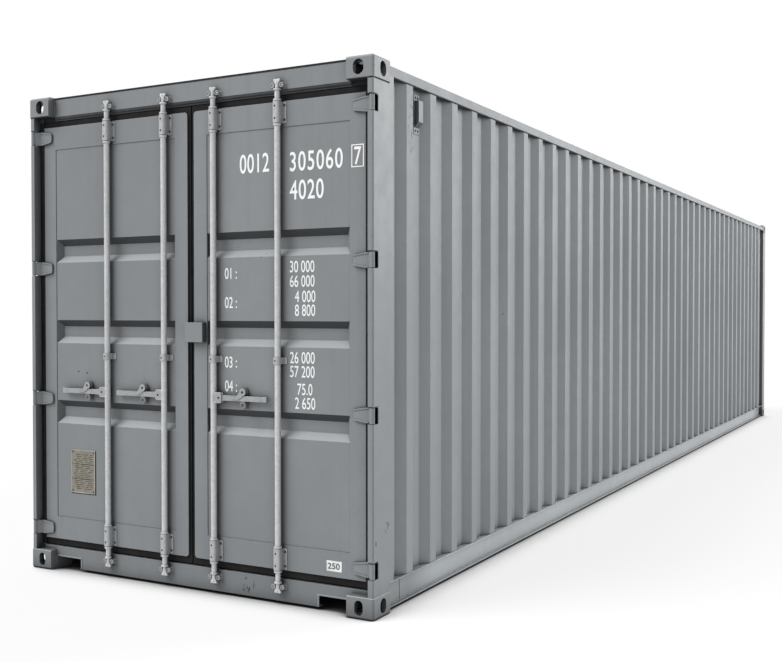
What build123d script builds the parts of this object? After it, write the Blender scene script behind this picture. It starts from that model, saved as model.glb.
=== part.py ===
from build123d import *
import os

# Overall envelope: a 40 ft high cube freight container, +Z up, doors towards -Y
length = 12192.0
width = 2438.0
height = 2896.0

# Corner castings
casting_length = 178.0
casting_width = 162.0
casting_height = 118.0
casting_face_wall = 28.5
casting_back_wall = 12.0
casting_edge_radius = 14.0
casting_bevel = 4.0
lock_slot_length = 124.0
lock_slot_width = 63.5
lock_slot_from_end = 103.5
lock_slot_from_side = 89.5
face_slot_height = 79.5
top_end_slot_width = 63.5
bottom_end_slot_width = 51.0
side_slot_width = 63.5

# Setback of posts and rails from the faces of the castings
frame_setback = 4.0

# Rear posts: an outer plate folded round a square inner channel
rear_post_depth = 224.0
rear_post_plate = 6.0
rear_post_lip = 32.0
rear_post_shoulder = 25.0
rear_post_recess = 58.0
rear_post_channel_depth = 113.0
rear_post_channel_plate = 12.0
rear_post_corner_radius = 10.0

# Extra depth of a cut past the face it opens
cut_margin = 1.0

# Front posts: one folded plate
front_post_width = 110.0
front_post_plate = 6.0
front_flange_depth = 56.0

# Rails
top_rail_width = 60.0
top_rail_height = 50.0
top_rail_wall = 4.0
top_rail_drop = 28.0
bottom_rail_height = 146.0
bottom_rail_top_flange = 48.0
bottom_rail_bottom_flange = 30.0
bottom_rail_plate = 4.5
ground_clearance = 17.0
end_rail_plate = 4.0
front_rail_setback = 10.0
front_rail_depth = 60.0

# Door header and sill
door_face = 52.0
header_depth = 88.0
header_bottom_drop = 141.0
header_top_drop = 5.0
header_lip_lap = 8.0
header_step_height = 25.0
header_step_depth = 14.0
sill_front_height = 140.0
sill_ledge_depth = 54.0
sill_ledge_height = 143.0
sill_step_run = 6.0
sill_depth = 148.0
sill_plate = 5.0
sill_foot = 40.0
sill_notch_width = 200.0
sill_notch_top = 78.0

# Corrugated walls
sheet = 2.0
wall_depth = 36.0
wall_crest = 74.0
wall_slope = 70.0
wall_valley = 74.0
wall_crest_setback = 8.0
wall_first_flat = 84.0
front_wall_depth = 44.0
front_wall_crest = 110.0
front_wall_slope = 18.0
front_wall_valley = 104.0
roof_depth = 20.0
roof_crest = 91.0
roof_slope = 13.5
roof_valley = 91.0
roof_first_flat = 40.0

# Floor and base frame
floor_thickness = 28.0
floor_top = 165.0
cross_flange = 45.0
cross_plate = 4.0
cross_pitch = 420.0
cross_first = 60.0
tunnel_width = 1030.0
tunnel_height = 103.0
tunnel_length = 3315.0
tunnel_plate = 4.0
tunnel_bow_width = 50.0
tunnel_bow_pitch = 600.0

# Doors
door_edge = 1149.0
door_gap = 46.0
door_bottom = 187.0
door_top_gap = 38.0
door_thickness = 50.0
door_corner_radius = 20.0
door_tube_wall = 4.0
outer_stile = 99.0
inner_stile = 92.0
door_rail_height = 138.0
panel_recess = 3.0
swage_pitch = 492.0
swage_rise = 13.0
swage_width = 145.0
swage_floor = 67.0
swage_depth = 34.0
swage_end_slope = 30.0
swage_inner_slope = 3.0

# Door gasket, with a flap over the recess of the post
gasket_front = 10.0
gasket_depth = 30.0
gasket_clearance = 5.0
gasket_post_clearance = 4.0
gasket_gap = 8.0
gasket_flap = 4.5
gasket_flap_clearance = 0.5
gasket_lip_clearance = 3.0

# Hinges
hinge_from_edge = 65.0
hinge_height = 80.0
hinge_tip_height = 56.0
hinge_tip = 1075.0
hinge_tip_radius = 7.0
hinge_rim = 8.0
hinge_rim_rise = 3.0
hinge_notch_clearance = 3.0
hinge_notch_radius = 8.0
hinge_lug = 26.0
knuckle_radius = 13.0
knuckle_root = 10.0
hinge_axis_from_side = 13.0
hinge_axis_depth = 17.0
pin_radius = 6.0
pin_fit = 0.3
pin_seat_fit = 0.1
blade_thickness = 11.0
blade_bend_run = 30.0

# Locking bars, from left to right
bar_places = [-611.0, -178.0, 178.0, 611.0]
bar_depth = 28.0
bar_radius = 17.0
neck_radius = 14.5
waist_radius = 11.5
bar_fit = 0.5
collar_radius = 22.0
collar_height = 10.0
collar_gap = 3.0
ring_radius = 16.5
ring_height = 6.0
ring_from_keeper = 26.0
cam_width = 36.0
cam_thickness = 13.0
cam_height = 20.0
cam_flare = 9.0
cam_notch = 7.0

# Cam keepers on the header and the sill
keeper_low = 100.0
keeper_above_step = 20.0
keeper_plate = 3.0
keeper_boss_radius = 13.5
keeper_boss_offset = 28.0
keeper_boss_reach = 26.0
keeper_hole_radius = 7.0
keeper_plate_width = 92.0
keeper_plate_height = 38.0

# Bar brackets: one by the top edge, one by the bottom edge and a guide between
bracket_height = 116.0
bracket_edge = 4.0
guide_height = 36.0
guide_place = 1322.0
bracket_half_width = 21.0
bracket_flange = 23.0
bracket_plate = 4.0
bracket_front_wall = 4.0
bracket_front_radius = 14.0
bracket_flange_radius = 9.0

# Handles and their catches: the side each handle points to, bar by bar
handle_sides = ["left", "left", "right", "none"]
handle_height = 1108.0
hub_reach = 40.0
hub_height = 60.0
hub_width = 40.0
hub_chamfer = 9.0
hub_cheek = 5.0
handle_length = 320.0
handle_thickness = 10.0
handle_root = 32.0
handle_grip = 29.0
handle_taper = 40.0
handle_pin_radius = 6.0
handle_side_clearance = 0.5
catch_reach_left = 157.0
catch_reach_right = 203.0
catch_width = 26.0
catch_plate = 4.0
catch_clearance = 5.0
eye_radius = 21.0
eye_hole_radius = 8.0
eye_plate = 6.0
rest_clearance = 0.3
catch_ledge = 6.0
hasp_width = 15.0
hasp_plate = 5.0
hasp_reach = 74.0
hasp_bend = 36.0
hasp_drop = 44.0
hasp_tip = 6.0

# Lock box over the gap between the doors
lock_box_left = -20.0
lock_box_right = 107.0
lock_box_bottom = 1415.0
lock_box_top = 1526.0
lock_box_front = 18.0
lock_box_plate = 4.0
lock_box_overhang_clearance = 6.0

# Vents
vent_width = 70.0
vent_height = 218.0
vent_drop = 108.0
vent_reach = 31.0
vent_end_flange = 36.0
vent_side_flange = 9.0
vent_slope = 28.0
vent_plate = 3.0

# Places that follow from the sizes above
half_width = width / 2
half_length = length / 2
rear = -half_length
front = half_length
casting_inner = half_width - casting_width
side_face = half_width - frame_setback
top_casting_bottom = height - casting_height
top_rail_top = height - top_rail_drop
top_rail_bottom = top_rail_top - top_rail_height
header_top = height - header_top_drop
header_bottom = height - header_bottom_drop
header_step = header_bottom + header_step_height
bottom_rail_top = ground_clearance + bottom_rail_height
rail_web = side_face - bottom_rail_top_flange
post_shoulder = side_face - rear_post_lip
post_inner = post_shoulder - rear_post_shoulder
wall_face = half_width - wall_crest_setback
wall_start = rear + rear_post_depth
wall_end = front - casting_length
floor_bottom = floor_top - floor_thickness
sill_back = rear + door_face + sill_depth
door_front_y = rear + door_face
door_back_y = door_front_y + door_thickness
door_top = header_bottom - door_top_gap
panel_y = door_front_y + panel_recess
panel_edge_outer = door_edge - outer_stile
panel_edge_inner = door_gap / 2 + inner_stile
panel_bottom = door_bottom + door_rail_height
panel_top = door_top - door_rail_height
swage_middle = (panel_top + panel_bottom) / 2 + swage_rise
swage_heights = [swage_middle - swage_pitch, swage_middle, swage_middle + swage_pitch]
lowest_hinge = door_bottom + hinge_from_edge
highest_hinge = door_top - hinge_from_edge
hinge_step = (highest_hinge - lowest_hinge) / 3
hinge_heights = [
    lowest_hinge,
    lowest_hinge + hinge_step,
    highest_hinge - hinge_step,
    highest_hinge,
]
hinge_x = side_face - hinge_axis_from_side
hinge_y = rear + hinge_axis_depth
bar_y = rear + bar_depth
keeper_high = header_step + keeper_above_step
handle_bottom = handle_height - handle_grip / 2
sides = {"left": -1, "right": 1}
handled_bars = [i for i, side in enumerate(handle_sides) if side in sides]
catch_reach = {"left": catch_reach_left, "right": catch_reach_right}

os.makedirs("parts", exist_ok=True)


def save(piece, label):
    piece.part.label = label
    export_step(piece.part, f"parts/{label}.step")


def from_rear(depth):
    return rear + depth


def from_front(depth):
    return front - depth


# A block between two corners, used to clear the space of a neighbour
def clear_block(low, high):
    size = [high[i] - low[i] for i in range(3)]
    middle = [(high[i] + low[i]) / 2 for i in range(3)]
    with Locations(tuple(middle)):
        Box(*size, mode=Mode.SUBTRACT)


# A closed outline from a list of points, where they stand
def outline(points):
    Polygon(*points, align=None)


# One half of a trapezoidal wave, from valley to valley, as (distance, depth) points
def wave(start, end, first, crest, slope, valley, depth):
    points = [(start, 0.0)]
    at = start + first
    while at + 2 * slope + crest < end:
        points.append((at, 0.0))
        points.append((at + slope, depth))
        points.append((at + slope + crest, depth))
        points.append((at + 2 * slope + crest, 0.0))
        at += 2 * slope + crest + valley
    points.append((end, 0.0))
    return points


# Corner castings: thick hollow blocks with an oval hole in each outer face
def corner_castings(label, base, lock_face, end_slot_width):
    end_y = half_length - casting_length / 2
    side_x = half_width - casting_width / 2
    slot_x = half_width - lock_slot_from_side
    slot_y = half_length - lock_slot_from_end
    cavity_x = casting_width - casting_face_wall - casting_back_wall
    cavity_y = casting_length - casting_face_wall - casting_back_wall
    cavity_z = casting_height - casting_face_wall - casting_back_wall
    if lock_face > base:
        cavity_base = base + casting_back_wall
    else:
        cavity_base = base + casting_face_wall
    with BuildPart() as castings:
        with BuildSketch(Plane.XY.offset(base)):
            with GridLocations(2 * side_x, 2 * end_y, 2, 2):
                Rectangle(casting_width, casting_length)
        extrude(amount=casting_height)
        uprights = castings.edges().filter_by(Axis.Z)
        uprights = [e for e in uprights if abs(abs(e.center().X) - half_width) < 1]
        uprights = [e for e in uprights if abs(abs(e.center().Y) - half_length) < 1]
        inside = (half_width - casting_width, half_length - casting_length)
        rims = castings.edges().filter_by(Plane.XY)
        rims = [e for e in rims if abs(abs(e.center().X) - inside[0]) > 1]
        rims = [e for e in rims if abs(abs(e.center().Y) - inside[1]) > 1]
        lock_rims = [e for e in rims if abs(e.center().Z - lock_face) < 1]
        fillet(uprights + lock_rims, radius=casting_edge_radius)
        rims = castings.edges().filter_by(Plane.XY)
        rims = [e for e in rims if abs(e.center().X) > side_x or abs(e.center().Y) > end_y]
        rims = [e for e in rims if abs(abs(e.center().X) - inside[0]) > 1]
        rims = [e for e in rims if abs(abs(e.center().Y) - inside[1]) > 1]
        frame_level = 2 * base + casting_height - lock_face
        rims = [e for e in rims if abs(e.center().Z - frame_level) < 1]
        chamfer(rims, length=casting_bevel)
        cavity_x_centre = half_width - casting_face_wall - cavity_x / 2
        cavity_y_centre = half_length - casting_face_wall - cavity_y / 2
        with BuildSketch(Plane.XY.offset(cavity_base)):
            with GridLocations(2 * cavity_x_centre, 2 * cavity_y_centre, 2, 2):
                Rectangle(cavity_x, cavity_y)
        extrude(amount=cavity_z, mode=Mode.SUBTRACT)
        toward_cavity = 1 if lock_face == base else -1
        with BuildSketch(Plane.XY.offset(lock_face)):
            with GridLocations(2 * slot_x, 2 * slot_y, 2, 2):
                SlotOverall(lock_slot_length, lock_slot_width, rotation=90)
        extrude(amount=toward_cavity * casting_face_wall, mode=Mode.SUBTRACT)
        slot_z = base + casting_height / 2
        for end in (-1, 1):
            with BuildSketch(Plane.XZ.offset(-end * half_length)):
                with Locations((-slot_x, slot_z), (slot_x, slot_z)):
                    SlotOverall(face_slot_height, end_slot_width, rotation=90)
            extrude(amount=end * casting_face_wall, mode=Mode.SUBTRACT)
        for side in (-1, 1):
            with BuildSketch(Plane.YZ.offset(side * half_width)):
                with Locations((-slot_y, slot_z), (slot_y, slot_z)):
                    SlotOverall(face_slot_height, side_slot_width, rotation=90)
            extrude(amount=-side * casting_face_wall, mode=Mode.SUBTRACT)
    save(castings, label)


# Rear post: the outer plate is notched at each hinge, with a lug above and below
def rear_post(name, s):
    plate = rear_post_plate
    channel_end = rear_post_recess + rear_post_channel_depth
    lip_inner = post_shoulder + plate
    web = post_inner + rear_post_channel_plate
    hollow_front = rear_post_recess + plate
    shell = [
        (post_inner, rear_post_recess),
        (post_shoulder, rear_post_recess),
        (post_shoulder, frame_setback),
        (side_face, frame_setback),
        (side_face, rear_post_depth),
        (rail_web + plate / 2, rear_post_depth),
        (rail_web + plate / 2, channel_end),
        (post_inner, channel_end),
    ]
    hollow = [
        (lip_inner, frame_setback + plate),
        (side_face - plate, frame_setback + plate),
        (side_face - plate, rear_post_depth - plate),
        (rail_web + 3 * plate / 2, rear_post_depth - plate),
        (rail_web + 3 * plate / 2, channel_end - plate),
        (web, channel_end - plate),
        (web, hollow_front),
        (lip_inner, hollow_front),
    ]
    post_height = top_rail_bottom - casting_height
    notch = hinge_height / 2 + hinge_notch_clearance
    with BuildPart() as post:
        with BuildSketch(Plane.XY.offset(casting_height)):
            outline([(s * x, from_rear(y)) for x, y in shell])
        extrude(amount=post_height)
        edge = post.edges().filter_by(Axis.Z)
        edge = [e for e in edge if abs(abs(e.center().X) - side_face) < 1]
        edge = [e for e in edge if abs(e.center().Y - from_rear(frame_setback)) < 1]
        fillet(edge, radius=rear_post_corner_radius)
        with BuildSketch(Plane.XY.offset(casting_height)):
            outline([(s * x, from_rear(y)) for x, y in hollow])
        extrude(amount=post_height, mode=Mode.SUBTRACT)
        lug_x = s * (side_face + post_shoulder) / 2
        lug_depth = 2 * (hinge_axis_depth - frame_setback)
        for z in hinge_heights:
            with Locations((lug_x, hinge_y, z)):
                Box(rear_post_lip - plate, lug_depth - plate, 2 * (notch + hinge_lug))
        cut_length = rear_post_recess + 2 * hinge_notch_radius
        cut_middle = from_rear(rear_post_recess - cut_length / 2)
        with BuildSketch(Plane.YZ.offset(s * (side_face + cut_margin))):
            with Locations([(cut_middle, z) for z in hinge_heights]):
                RectangleRounded(cut_length, 2 * notch, hinge_notch_radius)
        extrude(amount=-s * (rear_post_lip + 2 * cut_margin), mode=Mode.SUBTRACT)
        for z in hinge_heights:
            with Locations((s * hinge_x, hinge_y, z)):
                Cylinder(
                    pin_radius + pin_seat_fit,
                    2 * (notch + hinge_lug + cut_margin),
                    mode=Mode.SUBTRACT,
                )
        clear_block(
            (min(s * casting_inner, s * half_width), rear, top_casting_bottom),
            (max(s * casting_inner, s * half_width), from_rear(casting_length), height),
        )
        clear_block(
            (min(s * rail_web, s * half_width), from_rear(casting_length), 0),
            (max(s * rail_web, s * half_width), from_rear(rear_post_depth), bottom_rail_top),
        )
    save(post, name)


# Hinge pins, held in the lugs of the posts
def hinge_pins():
    notch = hinge_height / 2 + hinge_notch_clearance
    with BuildPart() as pins:
        for z in hinge_heights:
            with Locations((-hinge_x, hinge_y, z), (hinge_x, hinge_y, z)):
                Cylinder(pin_radius, 2 * (notch + hinge_lug))
    save(pins, "hinge_pins")


# Front post: a folded plate whose inner flange meets the front wall
def front_post(name, s):
    plate = front_post_plate
    inner = side_face - front_post_width
    fold = [
        (rail_web + plate / 2, casting_length),
        (side_face, casting_length),
        (side_face, frame_setback),
        (inner, frame_setback),
        (inner, front_flange_depth),
        (casting_inner, front_flange_depth),
        (casting_inner, front_flange_depth + plate),
        (inner + plate, front_flange_depth + plate),
        (inner + plate, frame_setback + plate),
        (side_face - plate, frame_setback + plate),
        (side_face - plate, casting_length - plate),
        (rail_web + plate / 2, casting_length - plate),
    ]
    with BuildPart() as post:
        with BuildSketch(Plane.XY.offset(casting_height)):
            outline([(s * x, from_front(y)) for x, y in fold])
        extrude(amount=top_casting_bottom - casting_height)
    save(post, name)


# Header over the doors: an open channel stepped back at its foot, with a lip down to the roof
def door_header():
    top = header_top
    back = door_face + header_depth
    plate = end_rail_plate
    inset = door_face + header_step_depth
    with BuildPart() as header:
        with BuildSketch(Plane.YZ.offset(-casting_inner)):
            outline(
                [
                    (from_rear(inset), header_bottom),
                    (from_rear(back), header_bottom),
                    (from_rear(back), header_bottom + plate),
                    (from_rear(inset + plate), header_bottom + plate),
                    (from_rear(inset + plate), header_step + plate),
                    (from_rear(door_face + plate), header_step + plate),
                    (from_rear(door_face + plate), top - plate),
                    (from_rear(back - plate), top - plate),
                    (from_rear(back - plate), top_rail_top - header_lip_lap),
                    (from_rear(back), top_rail_top - header_lip_lap),
                    (from_rear(back), top),
                    (from_rear(door_face), top),
                    (from_rear(door_face), header_step),
                    (from_rear(inset), header_step),
                ]
            )
        extrude(amount=2 * casting_inner)
        with BuildSketch(Plane.YZ.offset(-post_inner)):
            outline(
                [
                    (from_rear(inset), header_bottom),
                    (from_rear(back), header_bottom),
                    (from_rear(back), header_bottom + plate),
                    (from_rear(inset + plate), header_bottom + plate),
                    (from_rear(inset + plate), top_casting_bottom),
                    (from_rear(inset), top_casting_bottom),
                ]
            )
        extrude(amount=2 * post_inner)
    save(header, "door_header")


# Sill under the doors: a folded plate with a step up to the floor
def door_sill():
    t = sill_plate
    ledge = door_face + sill_ledge_depth
    step = ledge + sill_step_run
    back = door_face + sill_depth
    fold = [
        (door_face + sill_foot, ground_clearance),
        (door_face, ground_clearance),
        (door_face, sill_front_height),
        (ledge, sill_ledge_height),
        (step, floor_top),
        (back, floor_top),
        (back, floor_bottom),
        (back - t, floor_bottom),
        (back - t, floor_top - t),
        (step + t, floor_top - t),
        (ledge + t, sill_ledge_height - t),
        (door_face + t, sill_front_height - t),
        (door_face + t, ground_clearance + t),
        (door_face + sill_foot, ground_clearance + t),
    ]
    with BuildPart() as sill:
        with BuildSketch(Plane.YZ.offset(-post_inner)):
            outline([(from_rear(y), z) for y, z in fold])
        extrude(amount=2 * post_inner)
        for s in (-1, 1):
            clear_block(
                (min(s * casting_inner, s * half_width), rear, 0),
                (max(s * casting_inner, s * half_width), from_rear(casting_length), casting_height),
            )
            notch = casting_inner - sill_notch_width
            clear_block(
                (min(s * casting_inner, s * notch), rear, 0),
                (
                    max(s * casting_inner, s * notch),
                    from_rear(door_face + sill_foot + cut_margin),
                    sill_notch_top,
                ),
            )
    save(sill, "door_sill")


# Top side rail: a flat tube between the top castings
def top_side_rail(name, s):
    centre = (s * (side_face - top_rail_width / 2), top_rail_top - top_rail_height / 2)
    hollow = (top_rail_width - 2 * top_rail_wall, top_rail_height - 2 * top_rail_wall)
    with BuildPart() as rail:
        with BuildSketch(Plane.XZ.offset(-from_rear(casting_length))):
            with Locations(centre):
                Rectangle(top_rail_width, top_rail_height)
                Rectangle(*hollow, mode=Mode.SUBTRACT)
        extrude(amount=-(length - 2 * casting_length))
    save(rail, name)


# Front top rail: the same tube, across the front end
def front_top_rail():
    centre = (
        from_front(frame_setback + top_rail_width / 2),
        top_rail_top - top_rail_height / 2,
    )
    hollow = (top_rail_width - 2 * top_rail_wall, top_rail_height - 2 * top_rail_wall)
    with BuildPart() as rail:
        with BuildSketch(Plane.YZ.offset(-casting_inner)):
            with Locations(centre):
                Rectangle(top_rail_width, top_rail_height)
                Rectangle(*hollow, mode=Mode.SUBTRACT)
        extrude(amount=2 * casting_inner)
    save(rail, "front_top_rail")


# Bottom side rail: a channel with its flanges outwards
def bottom_side_rail(name, s):
    t = bottom_rail_plate
    section = [
        (rail_web, ground_clearance),
        (rail_web + bottom_rail_bottom_flange, ground_clearance),
        (rail_web + bottom_rail_bottom_flange, ground_clearance + t),
        (rail_web + t, ground_clearance + t),
        (rail_web + t, bottom_rail_top - t),
        (side_face, bottom_rail_top - t),
        (side_face, bottom_rail_top),
        (rail_web, bottom_rail_top),
    ]
    with BuildPart() as rail:
        with BuildSketch(Plane.XZ.offset(-from_rear(casting_length))):
            outline([(s * x, z) for x, z in section])
        extrude(amount=-(length - 2 * casting_length))
    save(rail, name)


# Front bottom rail: a channel cut away where the tunnel passes
def front_bottom_rail():
    t = end_rail_plate
    outer = front_rail_setback
    inner = front_rail_setback + front_rail_depth
    section = [
        (inner, ground_clearance),
        (outer, ground_clearance),
        (outer, bottom_rail_top),
        (inner, bottom_rail_top),
        (inner, bottom_rail_top - t),
        (outer + t, bottom_rail_top - t),
        (outer + t, ground_clearance + t),
        (inner, ground_clearance + t),
    ]
    tunnel_top = ground_clearance + tunnel_height + tunnel_plate
    with BuildPart() as rail:
        with BuildSketch(Plane.YZ.offset(-casting_inner)):
            outline([(from_front(y), z) for y, z in section])
        extrude(amount=2 * casting_inner)
        half_tunnel = tunnel_width / 2 + tunnel_plate
        clear_block(
            (-half_tunnel, from_front(inner + cut_margin), 0),
            (half_tunnel, front, tunnel_top),
        )
    save(rail, "front_bottom_rail")


# Side wall: one corrugated sheet between the rails
def side_wall(name, s):
    valley_face = wall_face - wall_depth
    ribs = wave(
        wall_start, wall_end, wall_first_flat, wall_crest, wall_slope, wall_valley, wall_depth
    )
    outer = [(s * (valley_face + d), y) for y, d in ribs]
    inner = [(s * (valley_face + d - sheet), y) for y, d in reversed(ribs)]
    with BuildPart() as wall:
        with BuildSketch(Plane.XY.offset(bottom_rail_top)):
            outline(outer + inner)
        extrude(amount=top_rail_bottom - bottom_rail_top)
    save(wall, name)


# Front wall: deeper corrugations between the front posts
def front_wall():
    valley_depth = front_flange_depth + front_post_plate / 2 - sheet / 2
    run = 2 * front_wall_slope + front_wall_crest + front_wall_valley
    ribs_across = int((2 * casting_inner - front_wall_valley) / run)
    first = (2 * casting_inner - ribs_across * run + front_wall_valley) / 2
    ribs = wave(
        -casting_inner,
        casting_inner,
        first,
        front_wall_crest,
        front_wall_slope,
        front_wall_valley,
        front_wall_depth,
    )
    outer = [(x, from_front(valley_depth - d)) for x, d in ribs]
    inner = [(x, from_front(valley_depth - d + sheet)) for x, d in reversed(ribs)]
    with BuildPart() as wall:
        with BuildSketch(Plane.XY.offset(bottom_rail_top)):
            outline(outer + inner)
        extrude(amount=top_rail_bottom - bottom_rail_top)
    save(wall, "front_wall")


# Roof: one sheet pressed across the container, between the top rails
def roof():
    top = top_rail_top
    edge = side_face - top_rail_width
    roof_start = from_rear(door_face + header_depth)
    roof_end = from_front(frame_setback + top_rail_width)
    ribs = wave(
        roof_start, roof_end, roof_first_flat, roof_valley, roof_slope, roof_crest, roof_depth
    )
    upper = [(y, top - d) for y, d in ribs]
    lower = [(y, top - d - sheet) for y, d in reversed(ribs)]
    with BuildPart() as panel:
        with BuildSketch(Plane.YZ.offset(-edge)):
            outline(upper + lower)
        extrude(amount=2 * edge)
        for s in (-1, 1):
            clear_block(
                (min(s * casting_inner, s * half_width), rear, top_casting_bottom),
                (max(s * casting_inner, s * half_width), from_rear(casting_length), height),
            )
            clear_block(
                (min(s * casting_inner, s * half_width), from_front(casting_length), top_casting_bottom),
                (max(s * casting_inner, s * half_width), front, height),
            )
    save(panel, "roof")


# Crossmembers: channels between the bottom side rails, cut short beside the tunnel
def crossmembers():
    t = cross_plate
    first = sill_back + cross_first
    last = from_front(casting_length + cross_first)
    count = int((last - first) / cross_pitch)
    tunnel_side = tunnel_width / 2 + tunnel_plate
    tunnel_start = from_front(front_rail_setback + tunnel_length)
    with BuildPart() as members:
        for i in range(count + 1):
            y = first + i * (last - cross_flange - first) / count
            section = [
                (y, ground_clearance),
                (y + cross_flange, ground_clearance),
                (y + cross_flange, ground_clearance + t),
                (y + t, ground_clearance + t),
                (y + t, floor_bottom - t),
                (y + cross_flange, floor_bottom - t),
                (y + cross_flange, floor_bottom),
                (y, floor_bottom),
            ]
            if y + cross_flange < tunnel_start:
                with BuildSketch(Plane.YZ.offset(-rail_web)):
                    outline(section)
                extrude(amount=2 * rail_web)
            else:
                for x in (-rail_web, tunnel_side):
                    with BuildSketch(Plane.YZ.offset(x)):
                        outline(section)
                    extrude(amount=rail_web - tunnel_side)
    save(members, "crossmembers")


# Tunnel for the trailer's gooseneck: a wide inverted channel with bows under the floor
def gooseneck_tunnel():
    t = tunnel_plate
    inner = tunnel_width / 2
    roof_z = ground_clearance + tunnel_height
    start = from_front(front_rail_setback)
    section = [
        (-inner - t, ground_clearance),
        (-inner, ground_clearance),
        (-inner, roof_z),
        (inner, roof_z),
        (inner, ground_clearance),
        (inner + t, ground_clearance),
        (inner + t, roof_z + t),
        (-inner - t, roof_z + t),
    ]
    bows = int(tunnel_length / tunnel_bow_pitch)
    bow_height = floor_bottom - roof_z - t
    with BuildPart() as tunnel:
        with BuildSketch(Plane.XZ.offset(-start)):
            outline(section)
        extrude(amount=tunnel_length)
        for i in range(bows):
            y = start - (i + 0.5) * tunnel_length / bows
            with Locations((0, y, roof_z + t + bow_height / 2)):
                Box(tunnel_width, tunnel_bow_width, bow_height)
    save(tunnel, "gooseneck_tunnel")


# Floor of plywood boards, modelled as one deck
def floor():
    start = sill_back
    end = from_front(front_rail_setback + front_rail_depth)
    with BuildPart() as deck:
        with BuildSketch(Plane.XY.offset(floor_bottom)):
            with Locations((0, (start + end) / 2)):
                Rectangle(2 * rail_web, end - start)
        extrude(amount=floor_thickness)
    save(deck, "floor")


# Cam keepers: a plate with two drilled bosses, in front of each end of each bar
def cam_keepers():
    face = from_rear(door_face)
    with BuildPart() as keepers:
        for z in (keeper_low, keeper_high):
            for x in bar_places:
                with BuildSketch(Plane.XZ.offset(-face)):
                    with Locations((x, z)):
                        SlotOverall(keeper_plate_width, keeper_plate_height)
                extrude(amount=keeper_plate)
                with BuildSketch(Plane.XZ.offset(-face + keeper_plate)):
                    with Locations((x - keeper_boss_offset, z), (x + keeper_boss_offset, z)):
                        Circle(keeper_boss_radius)
                extrude(amount=keeper_boss_reach)
                with BuildSketch(Plane.XZ.offset(-face + keeper_plate + keeper_boss_reach)):
                    with Locations((x - keeper_boss_offset, z), (x + keeper_boss_offset, z)):
                        Circle(keeper_hole_radius)
                extrude(amount=-keeper_boss_reach, mode=Mode.SUBTRACT)
    save(keepers, "cam_keepers")


# Vents: a louvred hood near each end of each side wall, in the valley after the first rib
def vents():
    base = wall_face - wall_depth
    pitch = 2 * wall_slope + wall_crest + wall_valley
    near = wall_start + wall_first_flat + pitch - wall_valley / 2
    ribs = wave(
        wall_start, wall_end, wall_first_flat, wall_crest, wall_slope, wall_valley, wall_depth
    )
    far = ribs[-6][0] + wall_valley / 2
    hood_low = height - vent_drop - vent_height + vent_end_flange
    hood_high = height - vent_drop - vent_end_flange
    z = height - vent_drop - vent_height / 2
    with BuildPart() as hoods:
        for s in (-1, 1):
            for y in (near, far):
                with Locations((s * (base + vent_plate / 2), y, z)):
                    Box(vent_plate, vent_width, vent_height)
                with BuildSketch(Plane.XZ.offset(-(y - vent_width / 2 + vent_side_flange))):
                    outline(
                        [
                            (s * (base + vent_plate), hood_low),
                            (s * (base + vent_reach), hood_low + vent_slope),
                            (s * (base + vent_reach), hood_high),
                            (s * (base + vent_plate), hood_high),
                        ]
                    )
                extrude(amount=-(vent_width - 2 * vent_side_flange))
    save(hoods, "vents")


# Door stiles: two upright tubes, rounded at the corners where the doors meet
def door_stiles(name, s):
    t = door_tube_wall
    radius = door_corner_radius
    tubes = (
        (panel_edge_outer, door_edge),
        (door_gap / 2, panel_edge_inner),
    )
    with BuildPart() as stiles:
        for low, high in tubes:
            with BuildSketch(Plane.XY.offset(door_bottom)):
                with Locations((s * (low + high) / 2, door_front_y + door_thickness / 2)):
                    Rectangle(high - low, door_thickness)
                    Rectangle(high - low - 2 * t, door_thickness - 2 * t, mode=Mode.SUBTRACT)
            extrude(amount=door_top - door_bottom)
        with BuildSketch(Plane.XZ.offset(-door_front_y)):
            for corner, up in ((door_bottom, 1), (door_top, -1)):
                with Locations((s * (door_gap + radius) / 2, corner + up * radius / 2)):
                    Rectangle(radius, radius)
            for corner, up in ((door_bottom, 1), (door_top, -1)):
                with Locations((s * (door_gap / 2 + radius), corner + up * radius)):
                    Circle(radius, mode=Mode.SUBTRACT)
        extrude(amount=-door_thickness, mode=Mode.SUBTRACT)
    save(stiles, name)


# Door rails: channels between the stiles, open towards the inside
def door_rails(name, s):
    t = door_tube_wall
    start = min(s * panel_edge_inner, s * panel_edge_outer)
    with BuildPart() as rails:
        for low in (door_bottom, panel_top):
            high = low + door_rail_height
            with BuildSketch(Plane.YZ.offset(start)):
                outline(
                    [
                        (door_front_y, low),
                        (door_back_y, low),
                        (door_back_y, low + t),
                        (door_front_y + t, low + t),
                        (door_front_y + t, high - t),
                        (door_back_y, high - t),
                        (door_back_y, high),
                        (door_front_y, high),
                    ]
                )
            extrude(amount=panel_edge_outer - panel_edge_inner)
    save(rails, name)


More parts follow.
